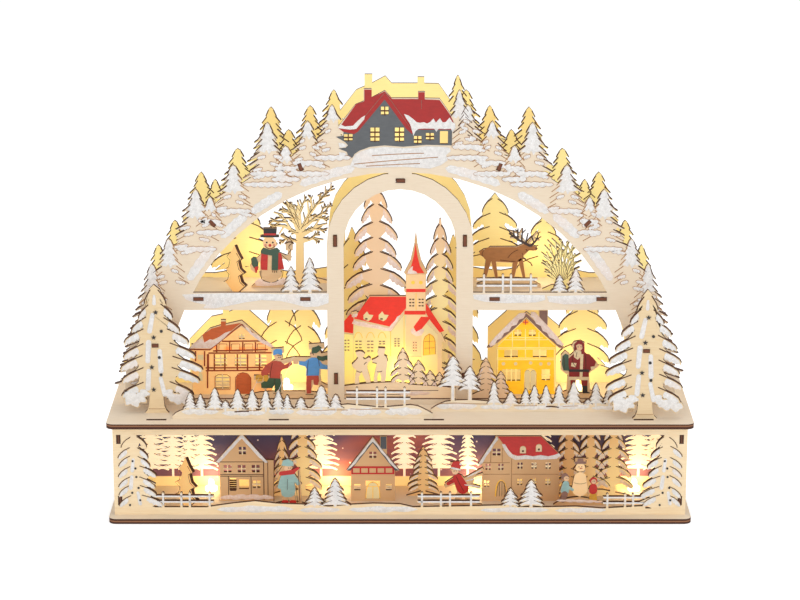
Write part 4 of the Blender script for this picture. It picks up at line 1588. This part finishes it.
def paint_panel():
    panel = Plate("panel", PANEL_Y, FLOOR)
    for side, x in (("left", -205), ("right", 205)):
        fir = Fir(x, 6, 67, 19.5, 7, 0.3, 0.5, 3.6, 0, limit=(-217.4, 217.4))
        panel.cut(f"{side}_fir", CUT_PANEL, [fir.outline()])
        panel.snow(f"{side}_fir_snow", fir.covers(0.4), 1, *BOUGH_COAT)
        panel.trimmed(f"{side}_fir_edges", [fir], 0.3, 0.24)
        marks = [(-1, 44), (1.5, 31), (3, 22), (-2, 18), (4, 12), (-4, 8), (1, 38)]
        panel.paint(f"{side}_fir_marks", BLACK, [disc(x + dx, h, 0.85) for dx, h in marks], 4)
        bars = [limb(x - 1.5, 36, x - 0.5, 45, 1.4, 1.2), limb(x - 3, 22, x - 2, 31, 1.6, 1.4),
                limb(x + 4, 9, x + 2.4, 18, 1.4, 1.2)]
        panel.snow(f"{side}_stem_snow", bars, 1, *THICK)
    small = [Fir(x, 7, tip, reach, count, 0.45, 0.8, 1.2, 5, sprigs=True) for x, tip, reach, count in (
        (-66, 22, 8, 4), (-50.2, 29.5, 11, 5), (85.5, 21.6, 8, 4), (101.5, 28.6, 11, 5))]
    white_firs(panel, "small_", CUT_PANEL, small, thick=0.4)
    rails = [(-189, -144.6, 14.3), (-189, -144.6, 9.8), (14, 61.5, 14.3), (14, 61.5, 9.8),
             (157.5, 189, 13.3), (157.5, 189, 8.8)]
    posts = [(7.5, 17.2, -183.3, -169.2, -162.7, -147.4, 17, 31.7, 38.7, 55),
             (7.5, 16.2, 160.5, 174.2, 180.4)]
    panel.snow("fences", fence(rails, *posts), 1, *THIN)
    panel.scored("fence_edges", BURN, 0.2, *[[(x0, h + 1.5), (x1, h + 1.5)] for x0, x1, h in rails], level=2)
    panel.snow("ground_snow", ground_dabs([
        (-142, -82, 4, 3.4, 2.6), (-78, -46, 3.6, 2.4, 2.2), (-40, 14, 4, 3, 2.6), (62, 116, 3.6, 2.4, 2.2),
        (120, 160, 3.4, 2.2, 2.2)]), 1, *THIN)


# Stage in the box

def paint_left_house():
    left = Plate("left_house", STAGE_HOUSE_Y, FLOOR)
    left.snow("roof_snow", [
        [(-144.2, 32.6), (-123.5, 55.8), (-103.4, 32.4), (-105.4, 31.8), (-108, 34.4), (-111, 37),
         (-114, 40.6), (-117, 44.4), (-120.4, 48), (-123.5, 52), (-127, 48.4), (-130, 44.6), (-133.6, 41),
         (-137, 36.8), (-141.8, 31.8)]], 3, *THICK)
    left.lines("beams", BURN, [
        [(-141, 32.6, 0.25), (-107, 32.6, 0.25)], [(-141, 22.2, 0.25), (-107, 22.2, 0.25)],
        [(-141, 20.8, 0.25), (-107, 20.8, 0.25)], [(-134.6, 3, 0.25), (-134.6, 20.8, 0.25)],
        [(-116.8, 3, 0.25), (-116.8, 20.8, 0.25)], [(-106.8, 1, 0.3), (-106.8, 33, 0.3)],
        [(-103.6, 2, 0.25), (-103.6, 33, 0.25)]], 2, round_ends=False)
    left.muntins("glazing", CREAM, [
        (-138, -132, 24, 30, 2, 2), (-127, -121, 24, 30, 2, 2), (-116, -110, 24, 30, 2, 2),
        (-126, -120.5, 39, 45, 2, 2), (-115.5, -109.5, 11, 17, 2, 2)])
    left.muntins("shutter", BURN, [(-133.5, -128.5, 8.5, 19, 1, 6)], 1.0)
    left.snow("mound", [dab(-142, 2.6, -98, 2.6, 3.4, 1.6, 5)], 3, *EVEN, PEACH_SNOW)


def paint_middle_house():
    middle = Plate("middle_house", STAGE_HOUSE_Y, FLOOR)
    middle.paint("roof", CHARCOAL, [
        [(-42, 25.8), (-21.3, 52.6), (-0.6, 25.8), (-3.6, 25.2), (-21.3, 48.4), (-39, 25.2)],
        rect(-15.2, -10.6, 43.4, 53.6)], 2)
    slope = [(-42, 25.6), (-38.6, 30), (-32, 38.4), (-26.6, 45.6), (-21.3, 52.8), (-21.3, 49.4), (-24.6, 46),
             (-27.6, 41), (-31.6, 36.6), (-34.6, 31.6), (-38.2, 28)]
    middle.snow("roof_snow", [slope, mirrored(slope, -21.3)], 4, *THICK)
    middle.paint("half_timber", BRIGHT_RED, [
        [rect(-38.2, -4.4, 22.4, 29)]
        + [rect(x, x + 5.2, 23.6, 27.4) for x in (-36.8, -30.4, -24, -17.6, -11.2)]], 2)
    middle.paint("door", LIT_CREAM, [arched(-26.4, -16.2, 2.2, 15.6)], 2)
    middle.scored("door_lines", LIT_GOLD, 0.3, *[
        [(-26.8, 2.4), (-26.8, 12), (-21.3, 17.4), (-15.8, 12), (-15.8, 2.4)], [(-21.3, 2.4), (-21.3, 12.4)],
        [(-26, 12.4), (-16.6, 12.4)]], level=3)
    middle.muntins("glazing", CREAM, [
        (-24, -18.5, 36, 41, 2, 2), (-36, -31, 9, 14, 1, 3), (-11, -6.5, 9, 14, 1, 3)])


def paint_right_house():
    right = Plate("right_house", STAGE_HOUSE_Y, FLOOR)
    right.paint("long_roof", BRIGHT_RED, [
        [[(76.4, 53.6), (110, 53.6), (125.4, 38.2), (121.8, 36), (90.8, 36.2), (84.4, 42.2)],
         arched(93.6, 98.6, 39.6, 46), arched(106, 111, 41, 47.6)]], 2)
    right.paint("dormers", CREAM, [arched(93.9, 98.3, 39.8, 45.6), arched(106.3, 110.7, 41.2, 47.2)], 2)
    right.paint("dormer_lights", BURN, discs([(96.1, 41.6), (108.5, 43)], 0.9, 8), 3)
    right.snow("roof_snow", [
        [(61, 30.6), (75.6, 54), (76.6, 51.4), (73.4, 47), (70.8, 41.6), (67.6, 37.6), (64.8, 32),
         (62.4, 30)],
        [(79.4, 47.6), (82, 47.4), (85, 42.4), (88, 39), (92, 37.6), (98, 38.4), (104, 37.4), (110, 38.4),
         (116, 37.4), (121, 38.6), (124, 40), (126, 38), (122.4, 35.2), (110, 34.6), (98, 35), (90, 34.4),
         (85, 37.4), (82, 41.8)]], 4, *THICK)
    right.scored("wall_lines", TAN, 0.2, *[
        [(65, 32), (86, 32)], [(65, 22.4), (86, 22.4)], [(88, 22.4), (124, 22.4)], [(87.4, 2), (87.4, 35)],
        [(71, 32.4), (71, 44)], [(80, 32.4), (80, 44)]], level=2, straight=True)
    right.muntins("glazing", CREAM, [
        (72.5, 78.5, 38, 43.5, 2, 2), (67, 71, 26, 31, 2, 2), (77, 81, 26, 31, 2, 2), (92, 96, 27, 32, 2, 2),
        (103, 107, 27, 32, 2, 2), (114, 118, 27, 32, 2, 2), (92, 96, 13.5, 18.5, 2, 2),
        (103, 107, 13.5, 18.5, 2, 2), (114, 118, 13.5, 18.5, 2, 2), (66, 70, 12, 17, 2, 2)])
    right.lines("door_rim", LIT_GOLD, [
        [(75, 4, 0.5), (75, 13, 0.5), (79.4, 19, 0.3), (83.8, 13, 0.2), (83.8, 4, 0.2)]], 2)
    right.scored("door_boards", BURN, 0.15, *[
        [(76, 4), (76, 13), (79.4, 17.6), (83, 13), (83, 4)], [(78, 4), (78, 16)], [(80, 4), (80, 16.6)],
        [(81.8, 4), (81.8, 15)]], level=3)


def paint_skier():
    skier = Plate("skier", STAGE_FIGURE_Y, FLOOR)
    skier.paint("coat", TEAL, [
        [(-92.2, 25.4), (-93.4, 15), (-92.4, 8.6), (-90, 7), (-85, 7), (-82.6, 8.8), (-81.6, 13),
         (-83.4, 26), (-88, 28)],
        limb(-84, 24.6, -79.6, 18.6, 2, 1.7), limb(-91, 23.6, -93.8, 15.6, 2, 1.7)], 1)
    skier.paint("cap", TEAL, [
        [(-92.4, 33.4), (-91, 37.4), (-87, 38.6), (-83.4, 36.4), (-82.8, 33), (-87, 32.6)]], 3)
    skier.paint("scarf", BRIGHT_RED, [
        limb(-92.6, 26.6, -83.4, 28, 1.7, 1.9), limb(-84, 28, -79.4, 31, 1.6, 1)], 3)
    skier.paint("boots", BRIGHT_RED, [limb(-91, 3, -88.6, 3, 1.5), limb(-85, 3, -82.6, 3, 1.5)], 2)
    skier.lines("skis", BURN, [
        [(-78.2, 2.4, 0.25), (-79.2, 29, 0.25)], [(-80, 2, 0.2), (-81.2, 19, 0.2)],
        [(-98.6, 1.6, 0.25), (-98.8, 14, 0.25), (-98, 32, 0.25)],
        [(-88, 13, 0.15), (-87.8, 22, 0.15)]], 3)
    skier.paint("face", SKIN, [disc(-87.4, 30.6, 2.9, 14)], 2)
    skier.paint("eyes", BLACK, discs([(-86.8, 31.2), (-85.4, 31.2)], 0.35, 8), 4)


def paint_tree_carrier():
    carrier = Plate("tree_carrier", STAGE_FIGURE_Y, FLOOR)
    carrier.paint("coat", BRIGHT_RED, [
        limb(45, 22.6, 49, 14.4, 3.7, 4.7), limb(43, 21.6, 37.6, 18.2, 1.8, 1.4)], 1)
    carrier.paint("hat", BRIGHT_RED, [
        [(39.6, 32.6), (41.4, 36.4), (45.6, 36.8), (48, 34.4), (47, 30.8), (43, 31.4)]], 3)
    carrier.snow("hat_fur", [dab(38.8, 31.6, 47.6, 29.6, 0.9, 1, 4), disc(47.4, 34.6, 1.1, 10)], 4, *EVEN)
    carrier.paint("face", SKIN, [disc(43, 28.4, 2.6, 14)], 2)
    carrier.paint("eyes", BLACK, discs([(42.2, 28.8), (43.8, 28.8)], 0.35, 8), 4)
    carrier.snow("carried_fir",
                 [dab(50, 17.4, 63, 15.2, 0.6, 0.7, 4), dab(51, 20.4, 63.4, 23.4, 0.6, 0.7, 4),
                 dab(52, 23.4, 63.4, 29.6, 0.6, 0.7, 4)], 2, *THICK)
    carrier.scored("folds", BURN, 0.2, [(44, 24), (46, 18), (50, 12)], [(37, 19.6), (41, 20.4)], level=3)


def paint_snowman_family():
    family = Plate("snowman_family", STAGE_FIGURE_Y, FLOOR)
    family.paint("snowman", LIT_PEACH, [
        disc(140.5, 31.4, 3.7, 18), limb(140.5, 23, 140.5, 14, 4.7, 6.2, 10)], 1)
    family.paint("hat", GREY_BROWN, [
        limb(136.9, 35.5, 144.1, 35.5, 0.9, 0.9, 4),
        [(138, 36.2), (143, 36.2), (142.6, 39), (138.4, 39)]], 3)
    family.paint("teal_coat", TEAL, [
        limb(129.5, 18, 128.8, 12.6, 2.5, 3.3), limb(130, 16, 134.8, 13.2, 1.3, 1)], 2)
    family.paint("brown", GREY_BROWN, [
        disc(128.6, 24, 2.9, 14), limb(128.6, 9.4, 127.4, 4.4, 2.6, 1.9)], 2)
    family.paint("red_coat", BRIGHT_RED, [
        disc(151, 20.6, 2.9, 14), limb(151, 15.4, 150.8, 12.6, 2.8, 3.2)], 2)
    family.paint("skirt", BASKET, [limb(150.8, 8.6, 151.2, 5, 2.8, 3)], 2)
    family.paint("faces", SKIN, [disc(129.8, 22.4, 2.1, 12), disc(151.2, 20, 2, 12)], 3)
    family.scored("snow_balls", BURN, 0.15, *[
        [(137, 28.8), (140.5, 27.4), (144, 28.8)], [(135.6, 19), (140.5, 17), (145.4, 19)]], level=3)
    family.paint("eyes", BLACK, discs([
        (139.4, 32.2), (141.6, 32.2), (129.6, 22.8), (131, 22.8), (150.6, 20.4), (151.9, 20.4)], 0.34, 8), 4)
    family.paint("nose", BRIGHT_RED, [[(140.2, 31.4), (140.2, 30.6), (142.4, 30.8)]], 4)
    family.snow("mound", [dab(122, 4.2, 159, 3, 1.6, 1.2, 5)], 3, *EVEN, PEACH_SNOW)


TURNED_SIDE = [(2.6, 0), (10, 6.4), (6.2, 8.6), (4.6, 13), (9, 16), (5, 18.6), (3.4, 24), (6.4, 26.4),
               (3, 30.6)]
TURNED_FIR = TURNED_SIDE + [(0, 36)] + mirrored(TURNED_SIDE)[::-1]


def paint_turned_firs():
    """Firs that stand askew, with a thick burnt edge on the right."""
    for name, x, y, base, grown in (("turned_fir", -128, 3, SHELF, 1.0),
                                    ("stage_turned_fir", -167, -30, FLOOR, 1.06)):
        fir = Plate(name, 0, base)
        fir.turn = (x, y, -TURN)
        shape = [(px * grown * 1.06, ph * grown * 1.04) for px, ph in TURNED_FIR]
        whole = fir.cut("whole", CUT_TURNED, [shape])
        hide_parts(name)
        half = len(shape) // 2
        rows = [[(px, ph, 0.3) for px, ph in shape[1:half]],
                [(px, ph, 0.26) for px, ph in shape[half + 1:-1]]]
        fir.lines("edges", BURN, rows, 13, 0.5, False)


PRINTED_FIRS = [
    (-198, 76, 16, 14), (-181, 66, 14, 13), (-168, 50, 10, 10), (-158, 74, 12.5, 14), (-63, 74, 15, 14),
    (3.5, 74, 11, 13), (31, 76, 15, 14), (54, 46, 9, 8), (112, 72, 12, 12), (190, 74, 16, 14),
    (203, 60, 10, 12),
]


def paint_card():
    card = Plate("card", CARD_Y, FLOOR)
    trees = [Fir(x, 13, tip, reach, count, 0.26, 0.5, 0.9, 8, sprigs=True)
             for x, tip, reach, count in PRINTED_FIRS]
    card.paint("printed_firs", PRINT_WHITE, [tree.outline() for tree in trees], 1, 0.16)
    gaps = []
    for tree in trees:
        for sign, i, reach, height in tree.boughs:
            if i < tree.count - 3 and i % 2 == 0:
                gaps.append(limb(tree.x + sign * reach * 0.16, height + 0.75 * tree.pitch,
                                 tree.x + sign * reach * 0.5, height + 0.3 * tree.pitch, 0.34, 0.12, 2))
    card.paint("printed_gaps", PRINT_SKY, gaps, 2, 0.16)


def paint_stage_firs():
    firs = Plate("stage_firs", STAGE_FIR_Y, FLOOR)
    mounds = [[(-104, 0), (-62, 0), (-75, 5), (-90, 5)], [(5, 0), (32, 0), (18, 4)],
              [(122, 0), (182, 0), (160, 5), (135, 5)]]
    stands = [("left", [Fir(-93, 3, 49, 9.5, 6, 0.3, 0.7, 1.6, 1),
                        Fir(-76.5, 5, 70, 16, 7, 0.24, 0.6, 2, 1)]),
              ("middle", [Fir(18.3, 3, 41, 13, 7, 0.3, 0.75, 1.8, 1)]),
              ("right", [Fir(133, 6, 66, 14, 7, 0.24, 0.6, 1.8, 1), Fir(150, 6, 69, 14, 7, 0.24, 0.6, 2, 1),
                         Fir(168, 6, 68, 15, 7, 0.24, 0.6, 2, 1)])]
    for (side, trees), mound in zip(stands, mounds):
        node = "stage_fir_middle" if side == "middle" else f"stage_firs_{side}"
        dressed_firs(firs, side, CUT_STAGE_FIR, trees, 0.3, node, [mound], CREAM_SNOW, 0.34)


def paint_everything():
    for job in (paint_cottage, paint_arch, paint_arch_back, paint_big_firs, paint_near_hill, paint_far_hill,
                paint_middle_firs, paint_middle_hill, paint_grove, paint_bare_tree, paint_bush,
                paint_turned_firs, paint_church, paint_chalet, paint_gable_house, paint_skaters,
                paint_father_christmas, paint_snowman, paint_reindeer, paint_panel, paint_left_house,
                paint_middle_house, paint_right_house, paint_skier, paint_tree_carrier, paint_snowman_family,
                paint_card, paint_stage_firs):
        job()


# Light, floor and camera

GLOW_RADIUS = 3.0
GLOW_COLOR = (1.0, 0.72, 0.36)
WARM_LAMPS = [
    (-150, 4, 14, 0.022), (-52, 4, 14, 0.026), (60, 4, 14, 0.02), (186, 4, 14, 0.024), (-90, 26, 100, 0.022),
    (140, 26, 100, 0.022), (0, 14, 100, 0.02), (-150, 20, 120, 0.01), (-110, 30, 190, 0.012),
    (110, 30, 190, 0.012), (0, 20, 290, 0.014), (0, 16, 249, 0.006),
]
SOFT_BOXES = [
    ("key", (-0.9, -1.6, 1.6), (0, 0, 0.15), 1.4, 9), ("fill", (1.3, -1.5, 1.0), (0, 0, 0.15), 1.4, 6),
    ("front", (0, -2.0, 0.35), (0, 0, 0.12), 1.2, 7), ("top", (0.2, 0.1, 1.9), (0, 0, 0.15), 1.2, 9),
]


def glow_lamp(name, x, y, z, power):
    data = bpy.data.lights.new(name, "POINT")
    data.energy = power
    data.shadow_soft_size = GLOW_RADIUS * MM
    data.color = GLOW_COLOR
    linked(name, data).location = (x * MM, y * MM, z * MM)


def soft_box(name, place, aim, size, power):
    data = bpy.data.lights.new(name, "AREA")
    data.size = size
    data.energy = power
    item = linked(name, data)
    item.location = place
    direction = [a - p for a, p in zip(aim, place)]
    item.rotation_euler = Vector(direction).to_track_quat("-Z", "Y").to_euler()


def make_world():
    """White to the camera, and a little dimmer as a light."""
    world = bpy.data.worlds.new("studio")
    bpy.context.scene.world = world
    world.use_nodes = True
    nodes, links = world.node_tree.nodes, world.node_tree.links
    back = nodes["Background"]
    path = nodes.new("ShaderNodeLightPath")
    seen = nodes.new("ShaderNodeMath")
    seen.operation = "MAXIMUM"
    links.new(path.outputs["Is Camera Ray"], seen.inputs[0])
    links.new(path.outputs["Is Glossy Ray"], seen.inputs[1])
    level = nodes.new("ShaderNodeMapRange")
    level.inputs["To Min"].default_value = 0.6
    level.inputs["To Max"].default_value = 1.0
    links.new(seen.outputs[0], level.inputs["Value"])
    links.new(level.outputs[0], back.inputs["Strength"])
    back.inputs["Color"].default_value = WHITE


def make_floor():
    bpy.ops.object.select_all(action="DESELECT")
    bpy.ops.mesh.primitive_plane_add(size=30, location=(0, 0, -0.0003))
    floor = bpy.context.object
    floor.name = "studio_floor"
    finish = Finish("studio floor")
    path = finish.add("ShaderNodeLightPath", out="Is Camera Ray")
    tint = finish.noise(400, 1.0)
    white = finish.blend(tint, (0.93, 0.93, 0.93, 1), (0.95, 0.95, 0.95, 1))
    shine = finish.blend(path, (0, 0, 0, 1), WHITE)
    floor.data.materials.append(finish.surface(white, 0.9, None, shine, 0.42))


def make_lights():
    for row in SOFT_BOXES:
        soft_box(*row)
    for i, row in enumerate(WARM_LAMPS):
        glow_lamp(f"warm_{i}", *row)


def make_camera():
    data = bpy.data.cameras.new("camera")
    data.lens = CAMERA_LENS
    data.sensor_width = SENSOR
    item = linked("camera", data)
    item.location = (0, CAMERA_Y * MM, CAMERA_Z * MM)
    item.rotation_euler = (math.radians(90 - CAMERA_TILT), 0, 0)
    bpy.context.scene.camera = item


make_camera()
make_world()
make_floor()
make_lights()
dress_nodes()
paint_everything()

bpy.context.scene.view_settings.view_transform = "Standard"
